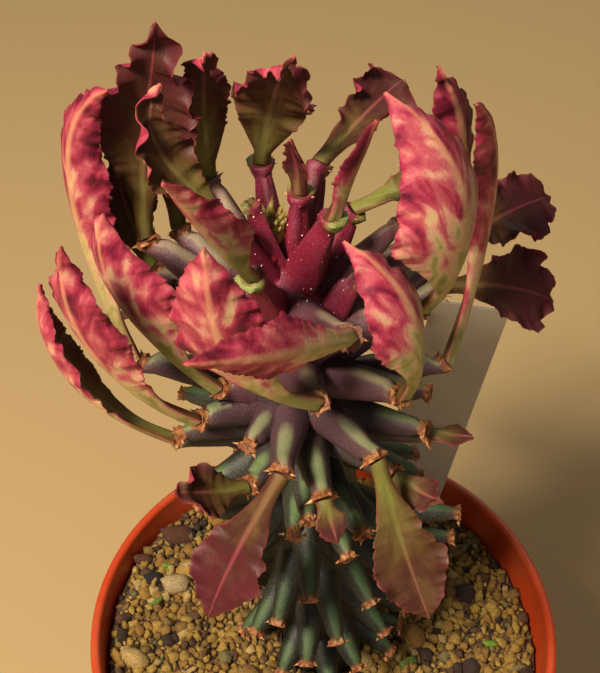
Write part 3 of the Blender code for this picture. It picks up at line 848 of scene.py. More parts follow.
@dataclass(frozen=True)
class Leaf:
    """One fleshy leaf on its petiole, in millimetres and degrees, as the model builds it.

    The place is that of its tubercle's tip: azimuth, distance from the axis and height. Heading and
    rise are those of the leaf's foot, and curl, swing and hook change them towards its tip. Widest,
    fold_by, thin_by and the like are shares of its length, keel_share and groove_share are shares
    of half its width, and a base below 1 widens it sooner. The sizes from curl_mm to nick_mm are
    those of the margin's finer curls and teeth, which the model leaves out.
    """
    name: str
    place: tuple[float, float, float]
    heading: float
    rise: float
    curl: float
    swing: float
    hook: float
    length: float
    width: float
    widest: float
    fold: float
    roll: float
    wave: float
    tone: Tone
    blush: float = 0.0
    petiole_half_w: float = 1.4
    petiole_half_t: float = 0.9
    petiole_share: float = 0.08
    blade_half_t: float = 0.5
    keel: float = 0.5
    groove: float = 0.25
    waves: int = 6
    tooth: float = 0.03
    tooth_mm: float = 0.8
    crinkle_mm: float = 1.4
    curl_mm: float = 2.3
    crisp_mm: float = 0.9
    lobe_mm: float = 1.8
    nick_mm: float = 0.7
    pink_wave: float = 0.5
    wave_from: float = 0.22
    teeth_from: float = 0.3
    fold_by: float = 0.35
    least_bend: float = 0.02
    thin_by: float = 0.45
    keel_share: float = 0.28
    groove_share: float = 0.12
    base: float = 1.0

    def angles(self, s: float) -> tuple[float, float]:
        """Heading and rise of the midrib at a share of its length."""
        rise = self.rise + self.curl * s ** 1.2 + self.hook * s ** 4
        return self.heading + self.swing * s, rise

    def normal(self) -> Vector:
        """Outward normal of the scar: halfway between the tubercle and the petiole."""
        peg = (AXIS.seat(self.place) - AXIS.root(self.place)).normalized()
        return (peg + direction(self.heading, self.rise)).normalized()

    def spine(self, steps: int) -> list[Vector]:
        """Follow the midrib from the petiole's foot to the tip.

        Args:
            steps: How many equal steps it is cut into.

        Returns:
            Its points.
        """
        line = [AXIS.seat(self.place) + self.normal() * GAP]
        for step in range(steps):
            line.append(line[-1] + direction(*self.angles((step + 0.5) / steps)) * (self.length / steps))
        return line

    def half_width(self, s: float) -> float:
        """Work out half the blade's width: a narrow petiole, the widest place, a pointed tip.

        Args:
            s: Share of the leaf's length.

        Returns:
            Half the width in millimetres.
        """
        petiole = self.petiole_share
        widening = smooth_step((s - petiole) / (self.widest - petiole)) ** self.base
        past = max(0.0, (s - self.widest) / (1.0 - self.widest))
        return lerp(self.petiole_half_w, self.width / 2, widening) * (1.0 - past ** 1.35)

    def facing(self, s: float) -> tuple[Vector, Vector]:
        """Work out how the blade is turned.

        Args:
            s: Share of the leaf's length.

        Returns:
            Directions across the blade and out of its inner face.
        """
        heading, rise = self.angles(s)
        along = direction(heading, rise)
        inner = direction(heading, rise + 90.0)
        turn = Matrix.Rotation(math.radians(self.roll), 3, along)
        return turn @ along.cross(inner), turn @ inner

    def margin(self, number: int, side: float, s: float) -> tuple[float, float]:
        """How far the margin stands out of the blade, and how far its teeth stand out beyond it.

        Args:
            number: The leaf's number, which shifts the waves.
            side: 1 or -1 for the margin in question.
            s: Share of the leaf's length.

        Returns:
            The wave's height and the teeth's reach, in millimetres.
        """
        sizes = (self.curl_mm, self.crisp_mm, self.lobe_mm, self.nick_mm)
        curls, crisp, lobes, nicks = (
            noise.noise(Vector((s * self.length / size, 11.0 * number + 5.0 * side + 3.0 * order, 0.5)))
            for order, size in enumerate(sizes))
        swell = smooth_step((s - self.wave_from) / 0.2) * smooth_step((1.0 - s) / 0.1)
        ripple = math.cos(2 * math.pi * s * self.waves + (math.pi if side < 0 else 0.0))
        turned_in = 1.1 * smooth_step((s - 0.4) / 0.4) * smooth_step(0.5 + 1.5 * curls)
        depth = self.wave * swell * (self.pink_wave if self.tone is Tone.PINK else 1.0)
        height = depth * (0.3 * ripple + 2.0 * curls + 0.6 * crisp + turned_in)
        return height, swell * (0.9 * lobes + 0.9 * abs(nicks)) * self.tooth_mm

    def point(self, number: int, centre: Vector, facing: tuple[Vector, Vector], s: float,
              u: float, face: int) -> Vector:
        """Work out a point of the blade.

        Args:
            number: The leaf's number.
            centre: The midrib's point.
            facing: Directions across the blade and out of its inner face.
            s: Share of the length.
            u: Place across, from -1 at one margin to 1 at the other.
            face: 1 on the inner face and -1 on the outer one.

        Returns:
            The point in millimetres.
        """
        across, inner = facing
        height, teeth = self.margin(number, math.copysign(1, u), s)
        broad = self.tooth * math.cos(2 * math.pi * self.waves * s + number)
        edge = u ** 4
        half = self.half_width(s) * (1.0 + broad * smooth_step((s - self.teeth_from) / 0.2) * edge)
        half += teeth * edge * edge
        bend = math.radians(self.fold) * smooth_step(s / self.fold_by) + self.least_bend
        angle = u * bend
        out = inner * math.cos(angle) - across * math.sin(angle)
        middle = centre + across * (half * math.sin(angle) / bend)
        middle = middle + inner * (half * (1.0 - math.cos(angle)) / bend)
        middle = middle + out * height * math.exp((abs(u) - 1.0) * half / self.crinkle_mm)
        flesh = lerp(self.petiole_half_t, self.blade_half_t, smooth_step(s / self.thin_by))
        flesh *= 1.0 - 0.3 * s
        if face < 0:
            flesh += self.keel * math.exp(-(u / self.keel_share) ** 2) * (1.0 - 0.6 * s)
        else:
            groove = self.groove * math.exp(-(u / self.groove_share) ** 2)
            flesh -= groove * smooth_step(s / 0.3) * (1.0 - s)
        return middle + out * face * flesh * math.sqrt(max(0.0, 1.0 - u * u))


PINK, DARK = Tone.PINK, Tone.DARK
# The leaves, in the model's own order and with the model's own values. Their numbers are heading,
# rise, curl, swing, hook, length, width, widest, fold, roll and wave, then the tone and the blush.
LEAVES = (
    Leaf("left_far", (179, 26, 169), 144, 65, 40, 5, 45, 58, 13, 0.60, 55, 76, 0.8, PINK, 0.12),
    Leaf("left_keel", (213, 14, 171), 181, 45, 44, 0, 20, 41, 20, 0.62, 50, 45, 0.8, PINK),
    Leaf("left_broad", (215, 19, 167), 201, 44, 55, 0, 0, 47, 14, 0.62, 40, 30, 1.3, PINK, 0.1),
    Leaf("left_low", (195, 22, 156), 185, 33, 72, 0, 0, 44, 12, 0.60, 50, 12, 1.1, PINK),
    Leaf("front_shield", (283, 21, 182), 214, 35, 80, 0, -25, 44, 13, 0.66, 25, 50, 0.9, PINK),
    Leaf("front_cross", (294, 25, 198), 244, 35, -15, -39, 0, 33, 9, 0.56, 37, 95, 0.6, PINK, 0.12),
    Leaf("front_right", (317, 24, 179), 330, 68, 104, 0, -6, 32, 16, 0.52, 40, 4, 0.8, PINK),
    Leaf("right_great", (345, 22, 187), 333, 58, 98, 0, 6, 43, 24, 0.48, 50, -8, 0.9, PINK),
    Leaf("right_mid", (26, 31, 189), 14, 82, 45, 8, -9, 31, 9.5, 0.55, 55, -67, 0.9, PINK, 0.25),
    Leaf("right_outer", (5, 26, 167), 60, 50, 88, -5, 0, 57, 12, 0.60, 50, -75, 0.6, PINK, 0.15),
    Leaf("back_high", (30, 30, 179), 45, 3, -27, 0, 0, 33, 13, 0.72, 12, 30, 1.3, DARK, 0.15),
    Leaf("back_low", (23, 28, 176), 29, -20, -24, 0, 0, 31, 16, 0.70, 12, 45, 1.1, DARK, 0.2),
    Leaf("back_great", (161, 23, 190), 148, 91, 26, 0, -20, 41, 15, 0.62, 25, -55, 1.2, DARK, 0.1),
    Leaf("back_green", (127, 19, 196), 99, 87, 57, 0, 0, 34, 8, 0.55, 35, 0, 0.8, DARK, base=0.5),
    Leaf("back_mid", (100, 14, 200), 108, 107, 30, 0, 0, 34, 11.5, 0.62, 20, -28, 1.1, DARK, base=0.5),
    Leaf("back_right", (64, 15, 200), 52, 13, -6, 0, -8, 23, 12, 0.78, 50, 20, 1.2, DARK, 0.1),
    Leaf("inner_curl", (213, 7, 201), 182, 50, 14, 0, 80, 29, 9, 0.62, 45, -50, 0.8, DARK, -0.1),
    Leaf("inner_pink", (254, 12, 199), 241, 55, 11, 0, -12, 35, 12, 0.58, 50, 0, 0.6, PINK, -0.02),
    Leaf("young_left", (60, 7, 200), 60, 92, 28, 0, 0, 12, 4, 0.50, 40, 0, 0.2, PINK, 0.3),
    Leaf("young_right", (340, 9, 203), 330, 72, 0, 0, 0, 20, 6, 0.50, 50, 0, 0.3, PINK, 0.3),
    Leaf("droop_left", (266, 24, 169), 219, -52, -22, -11, 0, 31, 11.5, 0.66, 12, -32, 0.7, DARK, 0.27),
    Leaf("droop_right", (302, 25, 169), 309, -66, 4, 7, 0, 32, 12, 0.68, 12, 28, 0.7, DARK, -0.1),
    Leaf("stub_left", (239, 17, 154), 219, 29, 14, 0, 0, 17, 9, 0.60, 20, -40, 0.7, DARK),
    Leaf("stub_right", (315, 23, 159), 313, 2, 20, 5, 0, 10, 6, 0.60, 20, 20, 0.4, DARK),
    Leaf("bud_right", (342, 24, 159), 345, 9, 0, 0, 0, 7, 4.5, 0.50, 20, 0, 0.1, DARK),
    Leaf("bud_front", (281, 24, 162), 290, -42, 5, 5, 0, 7, 5, 0.50, 20, 0, 0.1, DARK),
    Leaf("shade_left", (157, 24, 182), 147, 62, 33, 0, 0, 22, 11, 0.60, 30, -30, 0.8, DARK),
    Leaf("shade_mid", (142, 22, 187), 110, 75, 20, 0, 0, 26, 8, 0.60, 30, 0, 0.6, DARK),
    Leaf("mid_green", (27, 13, 197), 8, 20, 0, 0, 0, 17, 6, 0.60, 45, 0, 0.4, DARK, -0.3),
    Leaf("rear_left", (140, 24, 165), 128, -25, -30, 0, 0, 34, 14, 0.66, 15, 0, 0.9, DARK),
    Leaf("rear_mid", (98, 25, 170), 98, -15, -40, 0, 0, 38, 15, 0.66, 15, 0, 0.9, DARK),
    Leaf("rear_right", (60, 24, 160), 64, -25, -35, 0, 0, 34, 13, 0.66, 15, 0, 0.9, DARK),
)


@dataclass
class Foliage:
    """All the leaves, each a closed fleshy blade with its own coordinates for the pattern."""
    leaves: Sequence[Leaf] = LEAVES
    skin: LeafSkin = LeafSkin()
    stations_per_mm: float = 3.3
    least_stations: int = 16
    half_columns: int = 9
    pattern_step: float = 70.0
    green_foot: float = 0.1
    inner_blush: tuple = (0.2, 0.72)
    outer_blush: tuple = (0.05, 0.6)
    inner_rim_blush: float = 0.2
    outer_rim_blush: float = 0.22
    tip_blush: float = 0.8

    def columns(self) -> list[tuple[float, int]]:
        """Lay out places across the blade, close together at the margins, round both its faces.

        Returns:
            For each its place from -1 to 1, and 1 for the inner face or -1 for the outer one.
        """
        count = self.half_columns
        spread = [math.sin(math.pi / 2 * k / count) for k in range(-count, count + 1)]
        return [(u, 1) for u in spread] + [(u, -1) for u in spread[-2:0:-1]]

    def look(self, leaf: Leaf, s: float, u: float, face: int) -> Vector:
        """Work out what the skin shows at a point: the foot is green and the margins blush most.

        Args:
            leaf: The leaf.
            s: Share of its length.
            u: Place across it.
            face: 1 on the inner face and -1 on the outer one.

        Returns:
            Its blush, its share of the length, and how far it belongs to the inner face.
        """
        past = s - self.green_foot
        if face > 0:
            blush = lerp(*self.inner_blush, smooth_step(past / 0.7)) + self.inner_rim_blush * u * u
        else:
            blush = lerp(*self.outer_blush, smooth_step(past / 0.6))
            blush += self.outer_rim_blush * u * u * smooth_step(s / 0.4)
        inner = 0.5 if abs(u) == 1 else (1.0 if face > 0 else 0.0)
        return Vector((blush + leaf.blush, s, inner))

    def make(self, leaf: Leaf, number: int, finish: Finish) -> Piece:
        """Build one leaf.

        Args:
            leaf: The leaf's sizes.
            number: Its place in the row of leaves.
            finish: The skin's material.

        Returns:
            The leaf's object.
        """
        stations = max(self.least_stations, round(leaf.length * self.stations_per_mm))
        columns = self.columns()
        spine = leaf.spine(stations)
        start = self.pattern_step * number
        points, lay, look = [], [], []
        for station in range(stations):
            s = station / stations
            facing = leaf.facing(s)
            if station == 0:
                normal = leaf.normal()
                facing = tuple((v - normal * v.dot(normal)).normalized() for v in facing)
            half = leaf.half_width(s)
            for u, face in columns:
                points.append(leaf.point(number, spine[station], facing, s, u, face))
                lay.append(Vector((u * half, s * leaf.length + start, (1.0 - abs(u)) * half)))
                look.append(self.look(leaf, s, u, face))
        points.append(spine[-1])
        lay.append(Vector((0.0, leaf.length + start, 0.0)))
        look.append(Vector((self.tip_blush + leaf.blush, 1.0, 0.5)))
        count, last = len(columns), len(points) - 1
        faces = [tuple(range(count))] + bands(count, stations - 1)
        faces += [(last - count + k, last - count + (k + 1) % count, last) for k in range(count)]
        return build_mesh(f"blade_{leaf.name}", points, faces, finish, {"lay": lay, "look": look})

    def build(self) -> None:
        """Build every leaf in place of its plain one."""
        finish = self.skin.material()
        for number, leaf in enumerate(self.leaves):
            hand_over(self.make(leaf, number, finish), leaf.tone.value, f"leaf_{leaf.name}")


@dataclass(frozen=True)
class Tubercle:
    """One tapered tubercle from inside the stem to its scar."""
    root: Vector
    tip: Vector
    normal: Vector
    leafy: bool


@dataclass
class Stem:
    """The leaning column, its tubercles joined to it, their prickles and the dried latex.

    The levels are heights and radii of the column, and the section is a tubercle's radius at
    shares of its length. The flutes have a count, a depth and a shift from one tubercle to the
    next. The pegs of the crown are places, as those of the leaves, and the prickles' turns are
    angles from the top of the collar with the share of them that is missing.
    """
    leaves: Sequence[Leaf] = LEAVES
    skin: TubercleSkin = TubercleSkin()
    hole_end_z: float = 50.0
    top_z: float = 191.0
    levels: tuple = ((50.0, 8.6), (84.0, 8.6), (100.0, 9.5), (130.0, 9.5), (160.0, 9.5), (170.0, 8.9),
                     (178.0, 8.0), (183.0, 6.9), (187.0, 5.6), (190.0, 3.0))
    column_sides: int = 48
    column_r: float = 10.0
    age_from_z: float = 202.0
    age_span: float = 105.0
    outer_span: float = 11.0
    outer_age: float = 0.2
    shade_drop: float = 30.0
    dome_height: float = 12.0
    dry_from: float = 0.1
    dry_span: float = 0.15
    tubercle_sides: int = 18
    section: tuple = ((0.0, 3.9), (0.1, 3.8), (0.22, 3.55), (0.36, 3.15), (0.5, 2.8), (0.64, 2.45),
                      (0.76, 2.15), (0.86, 1.9))
    bare_girth: float = 0.86
    young_girth: float = 0.74
    young_from_z: float = 192.0
    leafy_neck_r: float = 1.65
    bare_neck_r: float = 1.2
    lump: float = 0.07
    flutes: tuple = ((3.0, 0.1, 0), (5.0, 0.09, 1))
    ridge_lift: float = 0.08
    lobe_turn: float = 1.65
    crust: float = 0.3
    young_lip: float = 0.75
    golden_angle: float = 137.508
    bare_count: int = 62
    bare_root_r: float = 4.75
    bare_root_z: tuple = (91.0, 168.0)
    bare_reach: tuple = (17.0, 24.0)
    bare_rise: tuple = (-5.0, 3.0)
    bare_sag: float = 8.0
    bare_turns: tuple = (0, 12, -12, 24, -24, 36, -36)
    leaf_clearance: float = 4.1
    tip_clearance: float = 6.0
    crown_pegs: tuple = ((150, 4, 201), (350, 12, 190), (302, 18, 190), (186, 17, 188), (12, 19, 196),
                         (336, 24, 163), (295, 25, 151), (205, 22, 161), (248, 19, 168), (266, 20, 147),
                         (355, 29, 130), (0, 28, 119))
    collar_r: float = 1.7
    collar_depth: float = 0.45
    prickle_turns: tuple = ((94, 0.08), (-94, 0.08), (130, 0.45), (-130, 0.45), (180, 0.45))
    prickle_size: tuple = (0.8, 1.6)
    growing_point: Vector = Vector((-9.4, 5.2, 193.0))
    scale_count: int = 12
    scale_spacing: float = 0.55
    scale_size: tuple = (3.4, 6.2)
    bud_spots: tuple = ((-9.5, 0.7, 192.0), (-4.7, -1.8, 188.0))
    bud_size: float = 1.5
    latex_from_z: float = 180.0
    latex_r: float = 10.0
    latex_beads: Grains = Grains("latex_beads", 1, 0.0, 1.2, 0.05, 0.45, 0.0, 0.0, skew=8.0,
                                 shapes=((1.0, 1.0, 0.8),))

    def bare_tubercles(self) -> list[tuple[Vector, Vector]]:
        """Lay out the bare tubercles: a spiral by the golden angle, turned clear of the leaves.

        Returns:
            Root and tip of each.
        """
        spines = [(leaf, leaf.spine(48)[::4]) for leaf in self.leaves]
        places = list(self.crown_pegs) + [leaf.place for leaf in self.leaves]
        tips = [AXIS.seat(place) for place in places]
        found = []
        for k in range(self.bare_count):
            t = k / (self.bare_count - 1)
            root_z = lerp(*self.bare_root_z, t)
            reach = lerp(*self.bare_reach, t)
            rise = lerp(*self.bare_rise, t) - self.bare_sag * math.sin(math.pi * t)
            for turn in self.bare_turns:
                azimuth = self.golden_angle * k + turn
                root = AXIS.at(root_z) + compass(azimuth) * self.bare_root_r
                tip = AXIS.at(root_z + rise) + compass(azimuth) * reach
                samples = [root.lerp(tip, n / 4) for n in range(5)]
                near_leaf = any(min((p - q).length for p in samples for q in line)
                                < self.leaf_clearance + leaf.width / 2 for leaf, line in spines)
                if not near_leaf and not any((tip - other).length < self.tip_clearance for other in tips):
                    tips.append(tip)
                    found.append((root, tip))
                    break
        return found

    def tubercles(self) -> list[Tubercle]:
        """Lay out every tubercle: under the leaves, in the crown and down the stem.

        Returns:
            The tubercles.
        """
        made = [Tubercle(AXIS.root(leaf.place), AXIS.seat(leaf.place), leaf.normal(), True)
                for leaf in self.leaves]
        bare = [(AXIS.root(place), AXIS.seat(place)) for place in self.crown_pegs]
        for root, tip in bare + self.bare_tubercles():
            made.append(Tubercle(root, tip, (tip - root).normalized(), False))
        return made

    def age(self, spot: Vector) -> float:
        """Age of the growth at a point, from 0 at the growing point to 1 at the soil."""
        outer = smooth_step(((spot - AXIS.at(spot.z)).length - self.column_r) / self.outer_span)
        return min(1.0, smooth_step((self.age_from_z - spot.z) / self.age_span) + self.outer_age * outer)

    def dryness(self, peg: Tubercle) -> float:
        """How corky a tubercle's end is: 0 for a fresh green lip, 1 for a dry crust."""
        return smooth_step((self.age(peg.tip) - self.dry_from) / self.dry_span)

    def end_rings(self, peg: Tubercle, dry: float) -> list[tuple[Vector, float, float, float, float]]:
        """The end of a tubercle, ring by ring outwards and then in over its scar.

        Args:
            peg: The tubercle.
            dry: How corky its end is.

        Returns:
            For each ring its centre, its radius, how far its lower side is drawn out of it, its
            collar share and its scar share.
        """
        tip, out = peg.tip, peg.normal
        neck = self.leafy_neck_r if peg.leafy else self.bare_neck_r
        lip = lerp(0.55, 0.15, dry) if peg.leafy else 0.1
        mouth = neck - (0.15 if peg.leafy else 0.4)
        return [(tip - out * 1.5, neck, 0.0, 0.1, 0.0),
                (tip - out * 0.9, neck + lip * 0.4, lip * 0.6, 0.85, 0.0),
                (tip - out * 0.35, neck + lip * 0.5, lip, 1.0, 0.0),
                (tip, neck, lip, 1.0, 0.0),
                (tip, mouth, lip * 0.5, 1.0, 0.35),
                (tip - out * 0.2, mouth * 0.6, 0.0, 1.0, 1.0)]

    def tubercle_mesh(self, peg: Tubercle, number: int, finish: Finish) -> Piece:
        """Build one tubercle as a closed mesh: a ridged taper, then a lip or a lobed crust.

        Args:
            peg: The tubercle.
            number: Its number, which varies its lumps.
            finish: The skin's material.

        Returns:
            The tubercle's object, which the stem takes in.
        """
        age, dry = self.age(peg.tip), self.dryness(peg)
        along = (peg.tip - peg.root).normalized()
        reach = (peg.tip - peg.root).length
        points, look, ends = [peg.root.copy()], [Vector((age, 0.0, 0.0))], [Vector((0.0, dry, 1.0))]
        slim = 1.0 if peg.leafy else self.bare_girth
        girth = lerp(1.0, self.young_girth, smooth_step((peg.tip.z - self.young_from_z) / 8.0))
        rings = [(peg.root + along * reach * t, along, r * girth * lerp(1.0, slim, t), 0.0, 0.0, 0.0, t)
                 for t, r in self.section]
        rings += [(centre, peg.normal, *rest, 1.0) for centre, *rest in self.end_rings(peg, dry)]
        for order, (centre, facing, radius, drawn, collar, worn, t) in enumerate(rings):
            side = facing.cross(UP).normalized()
            top = side.cross(facing).normalized()
            for k in range(self.tubercle_sides):
                turn = 2 * math.pi * k / self.tubercle_sides
                ridge, cross = math.cos(turn), math.sin(turn)
                lower = smooth_step((0.35 - ridge) / 1.0)
                lobes = sum(max(0.0, math.cos(turn + way * self.lobe_turn)) ** 6 for way in (-1, 1))
                rough = noise.noise(Vector((1.7 * ridge, 1.7 * cross, 0.5 * order + 9.0 * number)))
                crumbs = noise.noise(Vector((4.1 * ridge, 4.1 * cross, 1.3 * order + 9.0 * number)))
                flutes = sum(depth * math.cos(count * turn + shift * number)
                             for count, depth, shift in self.flutes)
                raised = self.ridge_lift * max(0.0, ridge) ** 8 * (1.0 - collar)
                span = radius * (1.0 + self.lump * rough + raised)
                span += radius * flutes * (1.0 - dry) * (1.0 - collar)
                span += collar * dry * self.crust * (lobes + 0.8 * max(0.0, -ridge) ** 6
                                                     + 3.0 * crumbs - 0.4)
                span += collar * (1.0 - dry) * lower * 0.7 * crumbs
                span += drawn * lower
                lift = self.young_lip * (1.0 - dry) * lower if collar == 1.0 and worn < 1.0 else 0.0
                points.append(centre + peg.normal * lift + (top * ridge + side * cross) * span)
                stripe = ridge * smooth_step((t - 0.2) / 0.4)
                look.append(Vector((age, stripe, collar * lerp(lower, 1.0, dry))))
                ends.append(Vector((worn, dry, 1.0)))
        points.append(peg.tip - peg.normal * 0.3)
        look.append(Vector((age, 0.0, 1.0)))
        ends.append(Vector((1.0, dry, 1.0)))
        faces = column_faces(len(points), self.tubercle_sides)
        return build_mesh(f"tubercle_{number}", points, faces, finish, {"look": look, "ends": ends})

    def column(self, finish: Finish) -> Piece:
        """Build the column: plain below the soil line, then leaning, with a rounded top.

        Between the tubercles its skin is painted darker as painted shade of the tubercles: it takes
        the skin of older growth lower down.

        Args:
            finish: The skin's material.

        Returns:
            The column's object.
        """
        points = [AXIS.at(self.hole_end_z)]
        look = [Vector((1.0, 0.0, 0.0))]
        for height, radius in self.levels:
            # Painted shade: below the dome the column takes the darker skin of growth lower down.
            drop = self.shade_drop * smooth_step((self.top_z - height) / self.dome_height)
            points += ring(AXIS.at(height), radius, self.column_sides)
            look += [Vector((self.age(AXIS.at(height - drop)), 0.0, 0.0))] * self.column_sides
        points.append(AXIS.at(self.top_z))
        look.append(Vector((0.0, 0.0, 0.0)))
        faces = column_faces(len(points), self.column_sides)
        ends = [UP] * len(points)
        return build_mesh("stem_flesh", points, faces, finish, {"look": look, "ends": ends}, 40.0)

    def joined(self, pegs: list[Tubercle], finish: Finish) -> Piece:
        """Join the column and its tubercles in one closed body.

        Args:
            pegs: The tubercles.
            finish: The skin's material.

        Returns:
            The stem's object.
        """
        stem = self.column(finish)
        bodies = [self.tubercle_mesh(peg, number, finish) for number, peg in enumerate(pegs)]
        combine(stem, bodies, "UNION")
        self.drop_flaps(stem.data)
        self.fill_seams(stem.data)
        stem.data.set_sharp_from_angle(angle=math.radians(55.0))
        return stem

    @staticmethod
    def drop_flaps(mesh: bpy.types.Mesh) -> None:
        """Drop the join's faces that lie back to back, and any crumb loose from the body.

        Args:
            mesh: The stem's mesh.
        """
        with reshaped(mesh) as shape:
            bmesh.ops.triangulate(shape, faces=shape.faces)
            twins: dict[frozenset, list] = {}
            for face in shape.faces:
                corners = frozenset(corner.co.to_tuple(8) for corner in face.verts)
                twins.setdefault(corners, []).append(face)
            flaps = [face for group in twins.values() if len(group) > 1 for face in group]
            bmesh.ops.delete(shape, geom=flaps, context="FACES")
            bmesh.ops.remove_doubles(shape, verts=shape.verts, dist=0.00001 * MM)
            body, waiting = set(), [max(shape.verts, key=lambda corner: corner.co.z)]
            while waiting:
                corner = waiting.pop()
                if corner not in body:
                    body.add(corner)
                    waiting.extend(edge.other_vert(corner) for edge in corner.link_edges)
            loose = [corner for corner in shape.verts if corner not in body]
            LOG.info("flaps: %d faces, loose: %d points", len(flaps), len(loose))
            bmesh.ops.delete(shape, geom=loose, context="VERTS")

    @staticmethod
    def fill_seams(mesh: bpy.types.Mesh) -> None:
        """Give the join's new points, which come without values, their neighbours' values.

        Args:
            mesh: The stem's mesh.
        """
        look, ends = mesh.attributes["look"].data, mesh.attributes["ends"].data
        known = [end.vector.z > 0.9 for end in ends]
        LOG.info("seam points: %d of %d", known.count(False), len(known))
        for _ in range(4):
            found: dict[int, list[int]] = {}
            for edge in mesh.edges:
                for near, far in (tuple(edge.vertices), tuple(edge.vertices)[::-1]):
                    if known[far] and not known[near]:
                        found.setdefault(near, []).append(far)
            for near, others in found.items():
                for values in (look, ends):
                    total = sum((values[k].vector.copy() for k in others), Vector())
                    values[near].vector = total / len(others)
                known[near] = True

    def prickles(self, pegs: list[Tubercle]) -> Piece:
        """Set a few prickles on each collar: at its two upper ends and along its lower side.

        Args:
            pegs: The tubercles.

        Returns:
            All the prickles as one piece.
        """
        draw = random.Random(SEED)
        pins = []
        for peg in pegs:
            side = peg.normal.cross(UP).normalized()
            top = side.cross(peg.normal).normalized()
            length = lerp(0.7, 1.0, self.dryness(peg))
            for turn, missing in self.prickle_turns:
                if draw.random() < missing:
                    continue
                angle = math.radians(turn + draw.uniform(-12, 12))
                out = top * math.cos(angle) + side * math.sin(angle)
                aim = (out + peg.normal * draw.uniform(0.0, 0.9)).normalized()
                size = draw.uniform(*self.prickle_size) * length * (1.0 if peg.leafy else 0.75)
                spot = peg.tip - peg.normal * self.collar_depth + out * self.collar_r
                pins.append((spot, aim, size))
        return scatter_at("collar_prickles", pins, horn_cone(), PRICKLE_HORN.material())

    def scales(self) -> Piece:
        """Crowd the growing point with young scale leaves that stand a few millimetres high.

        Returns:
            All the scales as one piece.
        """
        draw = random.Random(SEED)
        pins = []
        for k in range(self.scale_count):
            out = compass(self.golden_angle * k)
            aim = (out * draw.uniform(0.15, 0.6) + UP).normalized()
            spot = self.growing_point + out * self.scale_spacing * math.sqrt(k)
            pins.append((spot, aim, draw.uniform(*self.scale_size)))
        return scatter_at("young_scales", pins, horn_cone(8), YOUNG_SCALE.material())

    def latex(self, stem: Piece) -> Piece:
        """Sprinkle the growing point with beads of dried latex.

        Args:
            stem: The stem's object.

        Returns:
            All the beads as one piece.
        """
        crown = stem.data.copy()
        with reshaped(crown) as shape:
            far = []
            for face in shape.faces:
                middle = face.calc_center_median()
                aside = (middle - AXIS.at(self.top_z) * MM).xy.length
                if middle.z < self.latex_from_z * MM or aside > self.latex_r * MM or face.normal.z < -0.1:
                    far.append(face)
            bmesh.ops.delete(shape, geom=far, context="FACES")
        sheet = linked(self.latex_beads.name, crown)
        return scatter_over(sheet, self.latex_beads, DRIED_LATEX.material())

    def buds(self, stem: Piece) -> Piece:
        """Set the young flower buds on the crown.

        Args:
            stem: The stem's object.

        Returns:
            The buds as one piece.
        """
        pins = [(stem.closest_point_on_mesh(Vector(spot) * MM)[1] / MM, UP, self.bud_size)
                for spot in self.bud_spots]
        return scatter_at("flower_buds", pins, round_grain("bud", 2, 0.0, (1.0, 1.0, 1.0), SEED),
                          FLOWER_BUD.material())

    def build(self) -> None:
        """Build the stem in place of its plain one, then all that sits on it."""
        pegs = self.tubercles()
        stem = self.joined(pegs, self.skin.material())
        beads = self.latex(stem)
        extras = (self.prickles(pegs), self.scales(), beads, self.buds(stem))
        hand_over(stem, "stem", "stem")
        for piece in extras:
            hand_over(piece, "stem")


@dataclass
class Pot:
    """The tapered nursery pot: a rim band, a rounded lip and six drain holes."""
    # Polypropylene: a little waxy, so its gloss is soft and pale dust clings to it.
    plastic: MouldedPlastic = MouldedPlastic("orange_polypropylene", "#b23c17", "#b5744c", 0.3, 0.36)
    sides: int = 192
    height: float = 88.0
    rim_r: float = 50.0
    band_r: float = 49.2
    band_z: float = 76.0
    neck_r: float = 47.4
    base_r: float = 37.0
    base_round: float = 1.5
    wall: float = 1.2
    band_step: float = 0.8
    lip: float = 2.1
    floor: float = 2.2
    drain_count: int = 6
    drain_r: float = 3.5
    drain_circle_r: float = 24.0
    drain_turn: float = 13.0
    drill_z: tuple = (-2.0, 5.0)
    crease: float = 35.0

    def inner_r(self, height: float) -> float:
        """Inside radius of the tapered wall at a height."""
        return lerp(self.base_r, self.neck_r, height / self.band_z) - self.wall

    def profile(self) -> list[tuple[float, float]]:
        """Draw the section from the underside's centre, up the outside, over the lip and down.

        Returns:
            Radius and height of each of its points.
        """
        corner = [(self.base_r - self.base_round * (1.0 - sine), self.base_round * (1.0 - cosine))
                  for cosine, sine in arc(6)]
        band = [(self.neck_r, self.band_z - 0.3), (self.neck_r + 0.9, self.band_z - 0.2),
                (self.band_r - 0.15, self.band_z - 0.1), (self.band_r, self.band_z + 0.15)]
        half = self.lip / 2
        bow = [(self.rim_r - half + half * cosine, self.height - half + half * sine)
               for cosine, sine in arc(12)]
        inside = [(self.inner_r(self.band_z) + self.band_step, self.band_z + 1.0),
                  (self.inner_r(self.band_z), self.band_z - 1.0),
                  (self.inner_r(self.floor) + 0.1, self.floor + 1.0),
                  (self.inner_r(self.floor) - 1.0, self.floor)]
        return [(0.0, 0.0), (self.base_r - 6.0, 0.0), *corner, *band, *bow, *inside, (0.0, self.floor)]

    def build(self) -> None:
        """Turn the pot and drill its drain holes."""
        finish = self.plastic.material()
        pot = build_mesh("nursery_pot", *turned(self.profile(), self.sides), finish, crease=self.crease)
        low, high = self.drill_z
        around, faces = turned([(0.0, low), (self.drain_r, low), (self.drain_r, high), (0.0, high)], 32)
        drills = []
        for k in range(self.drain_count):
            spot = compass(self.drain_turn + 360.0 * k / self.drain_count) * self.drain_circle_r
            drills.append(build_mesh(f"drill_{k}", [p + spot for p in around], faces, finish))
        combine(pot, drills, "DIFFERENCE")
        pot.data.set_sharp_from_angle(angle=math.radians(self.crease))
        hand_over(pot, "pot", "pot")


